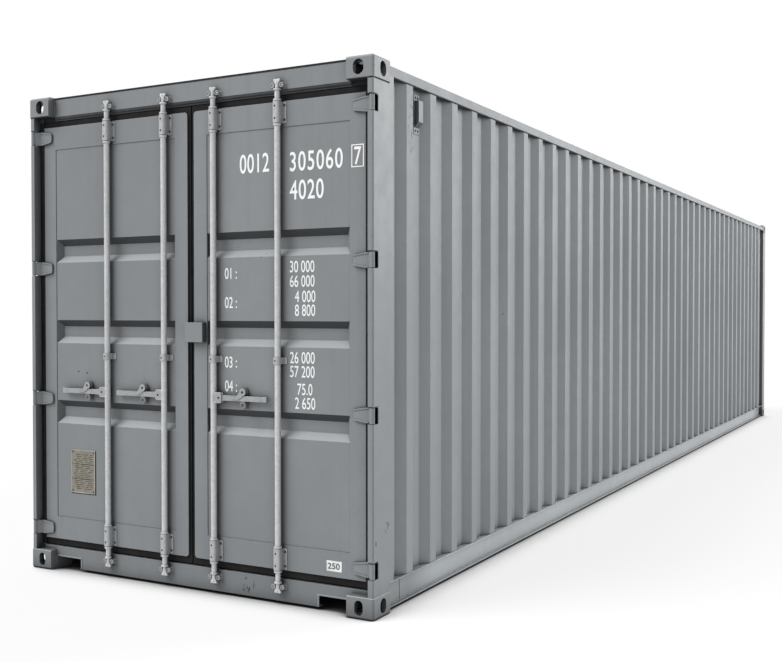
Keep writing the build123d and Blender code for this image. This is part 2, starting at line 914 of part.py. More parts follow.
# Door panel: a sheet with deep swages whose ends slope too
def door_panel(name, s):
    panel_width = panel_edge_outer - panel_edge_inner
    panel_height = panel_top - panel_bottom
    x = s * (panel_edge_outer + panel_edge_inner) / 2
    floor_x = x - s * (swage_end_slope - swage_inner_slope) / 2
    floor_width = panel_width - swage_end_slope - swage_inner_slope
    face = Plane.XZ.offset(-panel_y)
    back = Plane.XZ.offset(-(panel_y + swage_depth))
    with BuildPart() as panel:
        with BuildSketch(face):
            with Locations((x, (panel_top + panel_bottom) / 2)):
                Rectangle(panel_width, panel_height)
        extrude(amount=-sheet)
        for z in swage_heights:
            with BuildSketch(face.offset(-sheet)):
                with Locations((x, z)):
                    Rectangle(panel_width, swage_width)
            with BuildSketch(back.offset(-sheet)):
                with Locations((floor_x, z)):
                    Rectangle(floor_width, swage_floor)
            loft()
        for z in swage_heights:
            with BuildSketch(face):
                with Locations((x, z)):
                    Rectangle(panel_width - 2 * sheet, swage_width - 2 * sheet)
            with BuildSketch(back):
                with Locations((floor_x, z)):
                    Rectangle(floor_width - 2 * sheet, swage_floor - 2 * sheet)
            loft(mode=Mode.SUBTRACT)
    save(panel, name)


# Door gasket: a rubber strip round the edges of the door, with a flap on the hinge side
def door_gasket(name, s):
    edge = post_inner - gasket_post_clearance
    low = sill_ledge_height + gasket_clearance
    high = header_bottom - gasket_clearance
    radius = door_corner_radius
    frame = (gasket_gap / 2, edge, low, high, Mode.ADD)
    opening = (door_gap / 2, door_edge, door_bottom, door_top, Mode.SUBTRACT)
    with BuildPart() as gasket:
        with BuildSketch(Plane.XZ.offset(-(door_front_y + gasket_front))):
            for x0, x1, z0, z1, mode in (frame, opening):
                with Locations((s * (x0 + x1) / 2, (z0 + z1) / 2)):
                    Rectangle(x1 - x0, z1 - z0, mode=mode)
            for corner, up in ((door_bottom, 1), (door_top, -1)):
                with Locations((s * (door_gap + radius) / 2, corner + up * radius / 2)):
                    Rectangle(radius, radius)
                with Locations((s * (door_gap / 2 + radius), corner + up * radius)):
                    Circle(radius, mode=Mode.SUBTRACT)
        extrude(amount=-gasket_depth)
        flap_back = rear_post_recess - gasket_flap_clearance
        flap = [
            (door_edge, flap_back - gasket_flap),
            (post_shoulder - gasket_lip_clearance, flap_back - gasket_flap),
            (post_shoulder - gasket_lip_clearance, flap_back),
            (edge, flap_back),
            (edge, door_face + gasket_front),
            (door_edge, door_face + gasket_front),
        ]
        with BuildSketch(Plane.XY.offset(low)):
            outline([(s * x, from_rear(y)) for x, y in flap])
        extrude(amount=high - low)
    save(gasket, name)


# Hinge blades: a knuckle on the pin and a tapering blade with raised rims on the door
def door_hinges(name, s):
    back = door_face
    blade_front = door_face - blade_thickness
    bend = hinge_x - blade_bend_run
    half = hinge_height / 2
    tip = hinge_tip_height / 2
    plan = [
        (hinge_tip, back),
        (hinge_tip, blade_front),
        (bend - blade_thickness / 2, blade_front),
        (hinge_x - knuckle_radius, hinge_axis_depth),
        (hinge_x, hinge_axis_depth + knuckle_root),
        (bend, back),
    ]
    with BuildPart() as hinges:
        for z in hinge_heights:
            with BuildSketch(Plane.XY.offset(z - half)):
                outline([(s * x, from_rear(y)) for x, y in plan])
                with Locations((s * hinge_x, hinge_y)):
                    Circle(knuckle_radius)
                    Circle(pin_radius + pin_fit, mode=Mode.SUBTRACT)
            extrude(amount=hinge_height)
        with BuildSketch(Plane.XZ.offset(-rear)):
            for z in hinge_heights:
                outline(
                    [
                        (s * hinge_tip, z - tip),
                        (s * door_edge, z - half),
                        (s * half_width, z - half),
                        (s * half_width, z + half),
                        (s * door_edge, z + half),
                        (s * hinge_tip, z + tip),
                    ]
                )
        extrude(amount=-2 * door_face, mode=Mode.INTERSECT)
        with BuildSketch(Plane.XZ.offset(-from_rear(blade_front))):
            for z in hinge_heights:
                for up in (-1, 1):
                    rim = [
                        (s * hinge_tip, z + up * (tip - hinge_rim)),
                        (s * door_edge, z + up * (half - hinge_rim)),
                        (s * (bend - blade_thickness / 2), z + up * (half - hinge_rim)),
                        (s * (bend - blade_thickness / 2), z + up * half),
                        (s * door_edge, z + up * half),
                        (s * hinge_tip, z + up * tip),
                    ]
                    outline(rim)
        extrude(amount=hinge_rim_rise)
        corners = hinges.edges().filter_by(Axis.Y)
        corners = [e for e in corners if abs(abs(e.center().X) - hinge_tip) < pin_fit]
        levels = [z + up * tip for z in hinge_heights for up in (-1, 1)]
        corners = [e for e in corners if min(abs(e.center().Z - z) for z in levels) < pin_fit]
        fillet(corners, radius=hinge_tip_radius)
    save(hinges, name)


# Bar brackets: a hat-shaped block round the bar, with a flange on each side
def bar_brackets(name, bars):
    front_y = bar_depth - bar_radius - bar_fit - bracket_front_wall
    places = (
        (door_bottom + bracket_edge, bracket_height, door_face),
        (guide_place - guide_height / 2, guide_height, door_face + panel_recess),
        (door_top - bracket_edge - bracket_height, bracket_height, door_face),
    )
    half = bracket_half_width
    wide = bracket_half_width + bracket_flange
    with BuildPart() as brackets:
        for bar in bars:
            x = bar_places[bar]
            for z, tall, seat in places:
                hat = [
                    (x - wide, seat),
                    (x - wide, seat - bracket_plate),
                    (x - half, seat - bracket_plate),
                    (x - half, front_y),
                    (x + half, front_y),
                    (x + half, seat - bracket_plate),
                    (x + wide, seat - bracket_plate),
                    (x + wide, seat),
                ]
                with BuildSketch(Plane.XY.offset(z)):
                    outline([(px, from_rear(py)) for px, py in hat])
                    with Locations((x, bar_y)):
                        Circle(bar_radius + bar_fit, mode=Mode.SUBTRACT)
                extrude(amount=tall)
        front = brackets.edges().filter_by(Axis.Z)
        front = [e for e in front if abs(e.center().Y - from_rear(front_y)) < bar_fit]
        fillet(front, radius=bracket_front_radius)
        flange = brackets.edges().filter_by(Axis.Y)
        ends = [bar_places[bar] + side * wide for bar in bars for side in (-1, 1)]
        flange = [e for e in flange if min(abs(e.center().X - x) for x in ends) < bar_fit]
        fillet(flange, radius=bracket_flange_radius)
    save(brackets, name)


# Where the catch of a bar's handle stands along X
def catch_place(bar):
    side = handle_sides[bar]
    return bar_places[bar] + sides[side] * catch_reach[side]


# Handle catches: a plate on the door with a ledge, an eye behind the lever and one below
def handle_catches(name, bars):
    seat = from_rear(door_face + panel_recess)
    lever_front = bar_y - handle_thickness / 2
    lever_back = bar_y + handle_thickness / 2
    ledge_top = handle_bottom - rest_clearance
    upper_z = handle_height + handle_grip / 2 + eye_radius
    lower_z = ledge_top - eye_radius
    ledge_reach = seat - lever_front
    plate_tall = upper_z - lower_z + eye_radius
    with BuildPart() as catches:
        for x in [catch_place(bar) for bar in bars]:
            with Locations((x, seat - catch_plate / 2, upper_z - plate_tall / 2)):
                Box(catch_width, catch_plate, plate_tall)
            with BuildSketch(Plane.XZ.offset(-seat)):
                with Locations((x, upper_z)):
                    Circle(eye_radius)
            extrude(amount=seat - lever_back - catch_clearance)
            with Locations((x, seat - ledge_reach / 2, ledge_top - catch_ledge / 2)):
                Box(catch_width, ledge_reach, catch_ledge)
            with BuildSketch(Plane.XZ.offset(-lever_front)):
                with Locations((x, lower_z)):
                    Circle(eye_radius)
            extrude(amount=-eye_plate)
            with BuildSketch(Plane.XZ.offset(-seat)):
                with Locations((x, lower_z), (x, upper_z)):
                    Circle(eye_hole_radius)
            extrude(amount=2 * door_face, both=True, mode=Mode.SUBTRACT)
    save(catches, name)


# Lock box: a hood on the right door over the gap, open below for the lock
def lock_box():
    t = lock_box_plate
    front_y = from_rear(lock_box_front)
    with BuildPart() as box:
        with BuildSketch(Plane.XY.offset(lock_box_bottom)):
            outline(
                [
                    (lock_box_left, front_y),
                    (lock_box_right, front_y),
                    (lock_box_right, door_front_y),
                    (door_gap / 2, door_front_y),
                    (door_gap / 2, door_front_y - lock_box_overhang_clearance),
                    (lock_box_left, door_front_y - lock_box_overhang_clearance),
                ]
            )
        extrude(amount=lock_box_top - lock_box_bottom)
        fillet(box.edges().filter_by(Axis.Z).group_by(Axis.Y)[0], radius=t)
        clear_block(
            (lock_box_left + t, front_y + t, lock_box_bottom),
            (lock_box_right - t, door_front_y, lock_box_top - t),
        )
    save(box, "lock_box")


# A round length of a bar between two heights
def shaft(x, low, high, radius):
    with Locations((x, bar_y, (low + high) / 2)):
        Cylinder(radius, abs(high - low))


# Cam head: a stem that flares into two claws beyond the bosses of the keeper
def cam_outline(x, base, up):
    half = cam_width / 2
    tip = base + up * cam_height
    return [
        (x - waist_radius, base),
        (x - half, base + up * cam_flare),
        (x - half, tip),
        (x - half / 2, tip),
        (x, tip - up * cam_notch),
        (x + half / 2, tip),
        (x + half, tip),
        (x + half, base + up * cam_flare),
        (x + waist_radius, base),
    ]


# Hub of a handle: two cheeks on the bar with a pin through them
def handle_hub(x, s):
    cheek_gap = handle_thickness + 2 * handle_side_clearance
    far = hub_reach + hub_width / 2
    with BuildPart() as hub:
        for cheek in (-1, 1):
            y = bar_y + cheek * (cheek_gap + hub_cheek) / 2
            with Locations((x + s * far / 2, y, handle_height)):
                Box(far, hub_cheek, hub_height)
        corners = hub.edges().filter_by(Axis.Y)
        corners = [e for e in corners if abs(e.center().X - (x + s * far)) < handle_side_clearance]
        chamfer(corners, length=hub_chamfer)
        with Locations((x + s * hub_reach, bar_y, handle_height)):
            Cylinder(handle_pin_radius, cheek_gap + 2 * hub_cheek, rotation=(90, 0, 0))
    return hub.part


# Locking bar: a round bar with collars, necks, waists and a cam head at each end
def lock_bar(bar):
    x = bar_places[bar]
    low_bracket = door_bottom + bracket_edge
    high_bracket = door_top - bracket_edge - bracket_height
    waist_overlap = keeper_boss_radius + cam_flare
    with BuildPart() as locking_bar:
        shaft(x, keeper_low - waist_overlap, keeper_high + waist_overlap, waist_radius)
        for keeper, up, bracket in ((keeper_low, -1, low_bracket), (keeper_high, 1, high_bracket)):
            ring = keeper - up * ring_from_keeper
            shaft(x, ring, (keeper_low + keeper_high) / 2, neck_radius)
            shaft(x, ring - ring_height / 2, ring + ring_height / 2, ring_radius)
            base = keeper + up * keeper_boss_radius
            with BuildSketch(Plane.XZ.offset(-(bar_y + cam_thickness / 2))):
                outline(cam_outline(x, base, up))
            extrude(amount=cam_thickness)
            below = bracket - collar_gap
            above = bracket + bracket_height + collar_gap
            shaft(x, below - collar_height, below, collar_radius)
            shaft(x, above, above + collar_height, collar_radius)
        shaft(x, low_bracket - collar_gap, high_bracket + bracket_height + collar_gap, bar_radius)
        if bar in handled_bars:
            add(handle_hub(x, sides[handle_sides[bar]]))
    save(locking_bar, f"lock_bar_{bar + 1}")


# Hasp: a ring over the catch's eye with a tongue down across the lever
def hasp_outline(x, z):
    low = z - hasp_drop
    return [
        (x + eye_radius, z),
        (x - eye_radius, z),
        (x - hasp_bend - hasp_tip, low + hasp_width),
        (x - hasp_reach, low + 2 * hasp_tip),
        (x - hasp_reach, low + hasp_tip),
        (x - hasp_bend, low),
        (x - hasp_tip, low + hasp_width),
    ]


# Handle: a lever on the hub's pin with the hasp folded over it
def handle(bar):
    s = sides[handle_sides[bar]]
    pivot = bar_places[bar] + s * hub_reach
    neck = pivot + s * handle_root
    taper = neck + s * handle_taper
    tip = pivot + s * handle_length
    catch_x = catch_place(bar)
    lever_front = bar_y - handle_thickness / 2
    upper_z = handle_height + handle_grip / 2 + eye_radius
    with BuildPart() as lever:
        with BuildSketch(Plane.XZ.offset(-(bar_y + handle_thickness / 2))):
            outline(
                [
                    (pivot, handle_height - handle_root / 2),
                    (neck, handle_height - handle_root / 2),
                    (taper, handle_bottom),
                    (tip, handle_bottom),
                    (tip, handle_bottom + handle_grip),
                    (taper, handle_bottom + handle_grip),
                    (neck, handle_height + handle_root / 2),
                    (pivot, handle_height + handle_root / 2),
                ]
            )
            with Locations((pivot, handle_height)):
                Circle(handle_root / 2)
                Circle(handle_pin_radius + pin_fit, mode=Mode.SUBTRACT)
        extrude(amount=handle_thickness)
        with BuildSketch(Plane.XZ.offset(-lever_front)):
            outline(hasp_outline(catch_x, upper_z))
            with Locations((catch_x, upper_z)):
                Circle(eye_radius)
                Circle(eye_hole_radius, mode=Mode.SUBTRACT)
        extrude(amount=hasp_plate)
    save(lever, f"handle_{bar + 1}")


corner_castings("corner_castings_bottom", 0.0, 0.0, bottom_end_slot_width)
corner_castings("corner_castings_top", top_casting_bottom, height, top_end_slot_width)
hinge_pins()
door_header()
door_sill()
front_top_rail()
front_bottom_rail()
front_wall()
roof()
crossmembers()
gooseneck_tunnel()
floor()
cam_keepers()
vents()
for name, s in sides.items():
    bars = [i for i, x in enumerate(bar_places) if x * s > 0]
    rear_post(f"rear_post_{name}", s)
    front_post(f"front_post_{name}", s)
    top_side_rail(f"top_side_rail_{name}", s)
    bottom_side_rail(f"bottom_side_rail_{name}", s)
    side_wall(f"{name}_wall", s)
    door_stiles(f"{name}_door_stiles", s)
    door_rails(f"{name}_door_rails", s)
    door_panel(f"{name}_door_panel", s)
    door_gasket(f"{name}_door_gasket", s)
    door_hinges(f"{name}_door_hinges", s)
    bar_brackets(f"{name}_door_bar_brackets", bars)
    handle_catches(f"{name}_door_catches", [i for i in bars if i in handled_bars])
lock_box()
for bar in range(len(bar_places)):
    lock_bar(bar)
for bar in handled_bars:
    handle(bar)
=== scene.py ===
import math
import random

import bmesh
import bpy
from mathutils import Matrix, Vector


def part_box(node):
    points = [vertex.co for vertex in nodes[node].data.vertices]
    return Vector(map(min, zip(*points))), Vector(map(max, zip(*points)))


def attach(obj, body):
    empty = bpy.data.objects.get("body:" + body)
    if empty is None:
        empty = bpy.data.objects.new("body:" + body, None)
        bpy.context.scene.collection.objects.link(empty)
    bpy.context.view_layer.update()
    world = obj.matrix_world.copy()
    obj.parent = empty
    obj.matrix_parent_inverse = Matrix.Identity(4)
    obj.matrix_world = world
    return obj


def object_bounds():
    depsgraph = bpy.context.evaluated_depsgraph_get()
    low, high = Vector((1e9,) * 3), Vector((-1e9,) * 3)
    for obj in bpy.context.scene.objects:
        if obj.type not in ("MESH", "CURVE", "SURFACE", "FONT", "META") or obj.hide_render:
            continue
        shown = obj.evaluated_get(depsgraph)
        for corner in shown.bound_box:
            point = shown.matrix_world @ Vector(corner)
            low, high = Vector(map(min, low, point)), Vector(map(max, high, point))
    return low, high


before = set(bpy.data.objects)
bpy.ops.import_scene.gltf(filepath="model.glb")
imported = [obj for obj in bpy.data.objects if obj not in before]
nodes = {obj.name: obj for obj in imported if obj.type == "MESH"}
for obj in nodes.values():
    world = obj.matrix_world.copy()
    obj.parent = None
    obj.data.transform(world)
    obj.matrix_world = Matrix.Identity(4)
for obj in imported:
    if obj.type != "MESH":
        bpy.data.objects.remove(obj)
cad_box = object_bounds()

# Sizes are in metres: X across, Y along with the doors at its low end, Z up
REAR = cad_box[0].y
FRONT = cad_box[1].y
DOOR_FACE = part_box("left_door_stiles")[0].y
PANEL_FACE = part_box("left_door_panel")[0].y

# Directions: out from the doors, and up
TOWARD = (0, -1, 0)
UP = (0, 0, 1)

# The camera stands to the right of the doors, at a standing person's eye height
CAMERA_FROM_CENTRE = 3.835
CAMERA_FROM_DOORS = 4.633
CAMERA_HEIGHT = 1.585
CAMERA_TURN = 0.49727
CAMERA_TILT = -0.018196
LENS = 48.2
SENSOR_WIDTH = 36.0
VIEW_DEPTH = 200.0

# How far the floor goes each way from the middle
FLOOR_REACH = 120.0

# Locking gear, as the CAD places it: X of the bars, heights, depths behind the castings' face,
# and how far the hubs' pins and the keepers' bosses are to the side of a bar
BARS = (-0.611, -0.178, 0.178, 0.611)
DOOR_BARS = {"left_door": (0, 1), "right_door": (2, 3)}
BAR_DEPTH = 0.028
BRACKETS = (0.249, 2.655)
BRACKET_FRONT = 0.0070
BRACKET_FLANGE = 0.048
GUIDE = 1.322
HUB = 1.108
HUB_SIDES = (-1, -1, 1)
HUB_REACH = 0.040
HUB_FRONT = 0.0176
KEEPERS = (0.100, 2.800)
KEEPER_BOSS = 0.028
KEEPER_BACK = 0.0485
CAM_FORKS = ((2.802, 1), (0.098, -1))
CAM_FRONT = 0.0195
CAM_BACK = 0.0350
BAR_RINGS = (0.123, 2.777)
BAR_GAPS = (0.1895, 0.3085, 2.5955, 2.7145)
CATCH_FRONT = 0.038
CATCHES = {
    "left_door": ((-0.768, 1.1435), (-0.335, 1.1435)),
    "right_door": ((0.381, 1.1435),),
}

# Profiles of turned pieces, as radius and height
RING = (
    (0.0165, -0.005),
    (0.0200, -0.005),
    (0.0210, -0.003),
    (0.0210, 0.003),
    (0.0200, 0.005),
    (0.0165, 0.005),
)
# A thin dark ring that paints the shadow in a gap at a bracket's end
GAP_SHADE_RING = ((0.0165, -0.0014), (0.0186, -0.0014), (0.0186, 0.0014), (0.0165, 0.0014))
KEEPER_PIN = ((0.0046, 0.0), (0.0046, 0.0225), (0.0034, 0.0240), (0.0012, 0.0246))

# Outline of the wedge in a cam's fork, across the bar and away from its middle
CAM_WEDGE = (
    (-0.007, 0.000),
    (0.007, 0.000),
    (0.0205, 0.021),
    (0.0205, 0.031),
    (-0.0205, 0.031),
    (-0.0205, 0.021),
)

# Heights of the hinges, half the height of their cut-outs, and the joint under the top castings
HINGES = (0.252, 1.052, 1.852, 2.652)
HINGE_NOTCH = 0.043
CASTING_JOINT = 2.7765

# Y of the vents, and of the seams in the bottom rails
VENTS = (-5.537, 5.407)
RAIL_SEAMS = (-5.725, 5.725)

# Numbers on the right door: text, left edge, bottom, and in the large rows squeeze and spacing
LARGE_NUMBER = 0.105
SMALL_NUMBER = 0.062
SMALL_SQUEEZE = 0.66
NUMBER_LIFT = 0.0004
LARGE_ROWS = (
    ("0012", 0.343, 2.345, 0.66, 1.05),
    ("305060", 0.674, 2.337, 0.70, 1.13),
    ("4020", 0.673, 2.185, 0.70, 1.08),
)
SMALL_ROWS = (
    ("01 :", 0.238, 1.768),
    ("30 000", 0.673, 1.797),
    ("66 000", 0.673, 1.719),
    ("02 :", 0.238, 1.606),
    ("4 000", 0.705, 1.637),
    ("8 800", 0.705, 1.563),
    ("03 :", 0.237, 1.275),
    ("26 000", 0.673, 1.309),
    ("57 200", 0.673, 1.234),
    ("04 :", 0.237, 1.142),
    ("75.0", 0.720, 1.140),
    ("2 650", 0.705, 1.065),
)

# Chips, stains and painted shade, as places and how far each reaches
FRAME_CHIPS = (
    ((0.39, REAR + 0.052, 0.080), 0.055),
    ((1.215, REAR + 0.030, 0.40), 0.030),
    ((1.215, REAR + 0.030, 0.34), 0.026),
    ((1.215, REAR + 0.150, 0.46), 0.034),
)
SIDE_CHIPS = (
    ((1.209, -5.655, 2.720), 0.045),
    ((1.209, -5.655, 2.650), 0.055),
    ((1.209, -5.655, 2.570), 0.055),
    ((1.209, -5.655, 2.480), 0.045),
)
# Painted shade on the rails near the castings
RAIL_ENDS = tuple(((x, y, 0.09), 0.80) for x in (-1.17, 1.17) for y in (REAR, FRONT))
HUB_STAINS = tuple(
    ((BARS[i] + side * 0.042, REAR + 0.026, HUB), 0.046) for i, side in enumerate(HUB_SIDES)
)

# Colours
GREY = (0.186, 0.198, 0.206)
RUST = (0.060, 0.040, 0.030)
CHIP = (0.028, 0.028, 0.028)
WHITE = (1.0, 1.0, 1.0, 1.0)

# Marks on paint, as factors of its colour
PALE_PATCH = 1.06
DARK_PATCH = 0.93
MOTTLE = 0.86
DRIP = 0.55
# Painted shade on undersides
PAINTED_UNDERSIDE_SHADE = 0.10
# Painted highlight on upward faces
TOP_HIGHLIGHT = 1.75
# Painted shade in corners and in creases
CORNER_SHADE = 0.12
CREASE_SHADE = 0.08
# Darker towards the ground
NEAR_GROUND = 0.50
# Painted shade on faces towards the right side
RIGHT_SIDE_SHADE = 0.15
# Painted shade at listed places
PLACE_SHADE = 0.25
# Worn edges, partly wear and partly a painted highlight
WORN_EDGE_HIGHLIGHT = 1.75

# Marks on zinc, as factors of its colour
ZINC_PALE = 1.08
ZINC_DARK = 0.86
ZINC_STREAK = 0.55
# Painted shade in corners
ZINC_CORNER_SHADE = 0.10
ZINC_STAIN = 0.38
# Painted highlight on edges
ZINC_EDGE_HIGHLIGHT = 1.70

random.seed(7)


# Camera, lights and floor

def make_camera():
    data = bpy.data.cameras.new("camera")
    data.lens = LENS
    data.sensor_width = SENSOR_WIDTH
    data.clip_end = VIEW_DEPTH
    camera = bpy.data.objects.new("camera", data)
    bpy.context.scene.collection.objects.link(camera)
    camera.location = (CAMERA_FROM_CENTRE, REAR - CAMERA_FROM_DOORS, CAMERA_HEIGHT)
    level = math.cos(CAMERA_TILT)
    forward = Vector(
        (-math.sin(CAMERA_TURN) * level, math.cos(CAMERA_TURN) * level, math.sin(CAMERA_TILT))
    )
    camera.rotation_euler = forward.to_track_quat("-Z", "Y").to_euler()
    bpy.context.scene.camera = camera


def make_world(horizon, zenith):
    world = bpy.data.worlds.new("studio")
    world.use_nodes = True
    tree = world.node_tree
    place = put(tree, "ShaderNodeTexCoord")
    split = put(tree, "ShaderNodeSeparateXYZ", links={"Vector": place.outputs["Generated"]})
    strength = ramp(tree, split.outputs["Z"], 0.30, 0.60, horizon, zenith)
    background = tree.nodes["Background"]
    background.inputs["Color"].default_value = WHITE
    tree.links.new(strength, background.inputs["Strength"])
    bpy.context.scene.world = world
    bpy.context.scene.view_settings.view_transform = "Standard"


def make_sun(name, strength, direction, softness):
    data = bpy.data.lights.new(name, "SUN")
    data.energy = strength
    data.angle = math.radians(softness)
    sun = bpy.data.objects.new(name, data)
    bpy.context.scene.collection.objects.link(sun)
    sun.rotation_euler = Vector(direction).to_track_quat("Z", "Y").to_euler()


def make_floor():
    """A pale floor that glows in the open, with painted contact shadow that darkens it under and
    beside the container.
    """
    mesh = bpy.data.meshes.new("studio_floor")
    reach = FLOOR_REACH
    corners = [(-reach, -reach, 0), (reach, -reach, 0), (reach, reach, 0), (-reach, reach, 0)]
    mesh.from_pydata(corners, [], [(0, 1, 2, 3)])
    floor = bpy.data.objects.new("studio_floor", mesh)
    bpy.context.scene.collection.objects.link(floor)
    material, tree, shader = new_material("studio_floor")
    # Painted contact shadow: darker and without glow under and beside the container
    unshadowed = maths(tree, "SUBTRACT", 1.0, sheltered(tree, 0.5, 0.32, 0.66, 16))
    tone = mix(tree, unshadowed, (0.06, 0.06, 0.06), (0.22, 0.22, 0.22))
    connect(tree, shader, {"Base Color": tone, "Emission Strength": multiply(tree, unshadowed, 0.73)})
    set_values(shader, {"Emission Color": WHITE, "Roughness": 0.9, "Specular IOR Level": 0.1})
    mesh.materials.append(material)


# Building blocks of the materials

def new_material(name):
    material = bpy.data.materials.new(name)
    material.use_nodes = True
    tree = material.node_tree
    return material, tree, tree.nodes["Principled BSDF"]


def put(tree, kind, values=None, links=None, **settings):
    node = tree.nodes.new(kind)
    for key, value in settings.items():
        setattr(node, key, value)
    set_values(node, values or {})
    connect(tree, node, links or {})
    return node


def set_values(node, values):
    for key, value in values.items():
        node.inputs[key].default_value = value


def connect(tree, node, sockets):
    for key, socket in sockets.items():
        tree.links.new(socket, node.inputs[key])


def object_point(tree, stretch=(1, 1, 1)):
    place = put(tree, "ShaderNodeTexCoord").outputs["Object"]
    mapping = put(tree, "ShaderNodeMapping", {"Scale": stretch}, {"Vector": place})
    return mapping.outputs["Vector"]


def noise(tree, scale, detail=3.0, rough=0.5, stretch=(1, 1, 1)):
    values = {"Scale": scale, "Detail": detail, "Roughness": rough}
    node = put(tree, "ShaderNodeTexNoise", values, {"Vector": object_point(tree, stretch)})
    return node.outputs["Fac"]


def ramp(tree, socket, low, high, start=0.0, end=1.0):
    """From start where the socket is at low, to end where it is at high."""
    values = {"From Min": low, "From Max": high, "To Min": start, "To Max": end}
    return put(tree, "ShaderNodeMapRange", values, {"Value": socket}).outputs["Result"]


def maths(tree, operation, a, b):
    node = put(tree, "ShaderNodeMath", operation=operation)
    for index, value in enumerate((a, b)):
        if isinstance(value, (int, float)):
            node.inputs[index].default_value = value
        else:
            tree.links.new(value, node.inputs[index])
    return node.outputs["Value"]


def multiply(tree, a, b):
    return maths(tree, "MULTIPLY", a, b)


def mix(tree, factor, a, b):
    """Colour a where the factor is 0, and b where it is 1."""
    node = put(tree, "ShaderNodeMix", data_type="RGBA")
    for index, value in ((0, factor), (6, a), (7, b)):
        if isinstance(value, tuple):
            node.inputs[index].default_value = (*value, 1.0)
        else:
            tree.links.new(value, node.inputs[index])
    return node.outputs[2]


def shade(colour, factor):
    return tuple(c * factor for c in colour)


def edge_mask(tree, radius):
    """1 at an edge and 0 on a flat face, and the normal that rounds the edge."""
    bevel = put(tree, "ShaderNodeBevel", {"Radius": radius}, samples=4)
    rounded = bevel.outputs["Normal"]
    flat = put(tree, "ShaderNodeNewGeometry").outputs["Normal"]
    match = put(tree, "ShaderNodeVectorMath", links={0: rounded, 1: flat}, operation="DOT_PRODUCT")
    return ramp(tree, match.outputs["Value"], 0.995, 0.80), rounded


def sheltered(tree, reach, low, high, samples=6):
    """0 in the open, 1 deep in a corner or a recess narrower than reach."""
    node = put(tree, "ShaderNodeAmbientOcclusion", {"Distance": reach}, samples=samples)
    return ramp(tree, node.outputs["AO"], high, low)


def facing(tree, axis):
    """How far a surface faces along an axis: for Z, -1 is an underside and 1 a top."""
    normal = put(tree, "ShaderNodeNewGeometry").outputs["Normal"]
    return put(tree, "ShaderNodeSeparateXYZ", links={"Vector": normal}).outputs[axis]


def near(tree, places):
    """1 close to any of the places, fading to 0 at its reach."""
    point = put(tree, "ShaderNodeTexCoord").outputs["Object"]
    total = None
    for centre, reach in places:
        gap = put(tree, "ShaderNodeVectorMath", {1: centre}, {0: point}, operation="DISTANCE")
        close = ramp(tree, gap.outputs["Value"], reach, reach * 0.6)
        total = close if total is None else maths(tree, "MAXIMUM", total, close)
    return total


def bump(tree, height, distance, normal=None):
    values = {"Distance": distance, "Strength": 1.0}
    node = put(tree, "ShaderNodeBump", values, {"Height": height})
    if normal is not None:
        tree.links.new(normal, node.inputs["Normal"])
    return node.outputs["Normal"]


# Materials

def shade_and_highlight(tree, base, colour, reach, depth, underside_shade, crevice):
    """Painted shade on undersides, a painted highlight on upward faces, painted shade in corners
    and creases, and darker paint towards the ground.
    """
    rise = facing(tree, "Z")
    # Painted shade on faces that look down
    underside = ramp(tree, rise, -0.10, -0.60, 0.0, underside_shade)
    base = mix(tree, underside, base, shade(colour, PAINTED_UNDERSIDE_SHADE))
    # Painted highlight on faces that look up
    ledge = ramp(tree, rise, 0.15, 0.70, 0.0, 0.80)
    base = mix(tree, ledge, base, shade(colour, TOP_HIGHLIGHT))
    # Painted shade in corners and recesses, and in narrow creases
    corners = multiply(tree, sheltered(tree, reach, 0.30, 0.92), depth)
    base = mix(tree, corners, base, shade(colour, CORNER_SHADE))
    creases = multiply(tree, sheltered(tree, crevice, 0.30, 0.72), 0.85)
    base = mix(tree, creases, base, shade(colour, CREASE_SHADE))
    # Darker towards the ground
    point = put(tree, "ShaderNodeTexCoord").outputs["Object"]
    height = put(tree, "ShaderNodeSeparateXYZ", links={"Vector": point}).outputs["Z"]
    low_down = ramp(tree, height, 1.2, 0.1, 0.0, 0.07)
    return mix(tree, low_down, base, shade(colour, NEAR_GROUND))


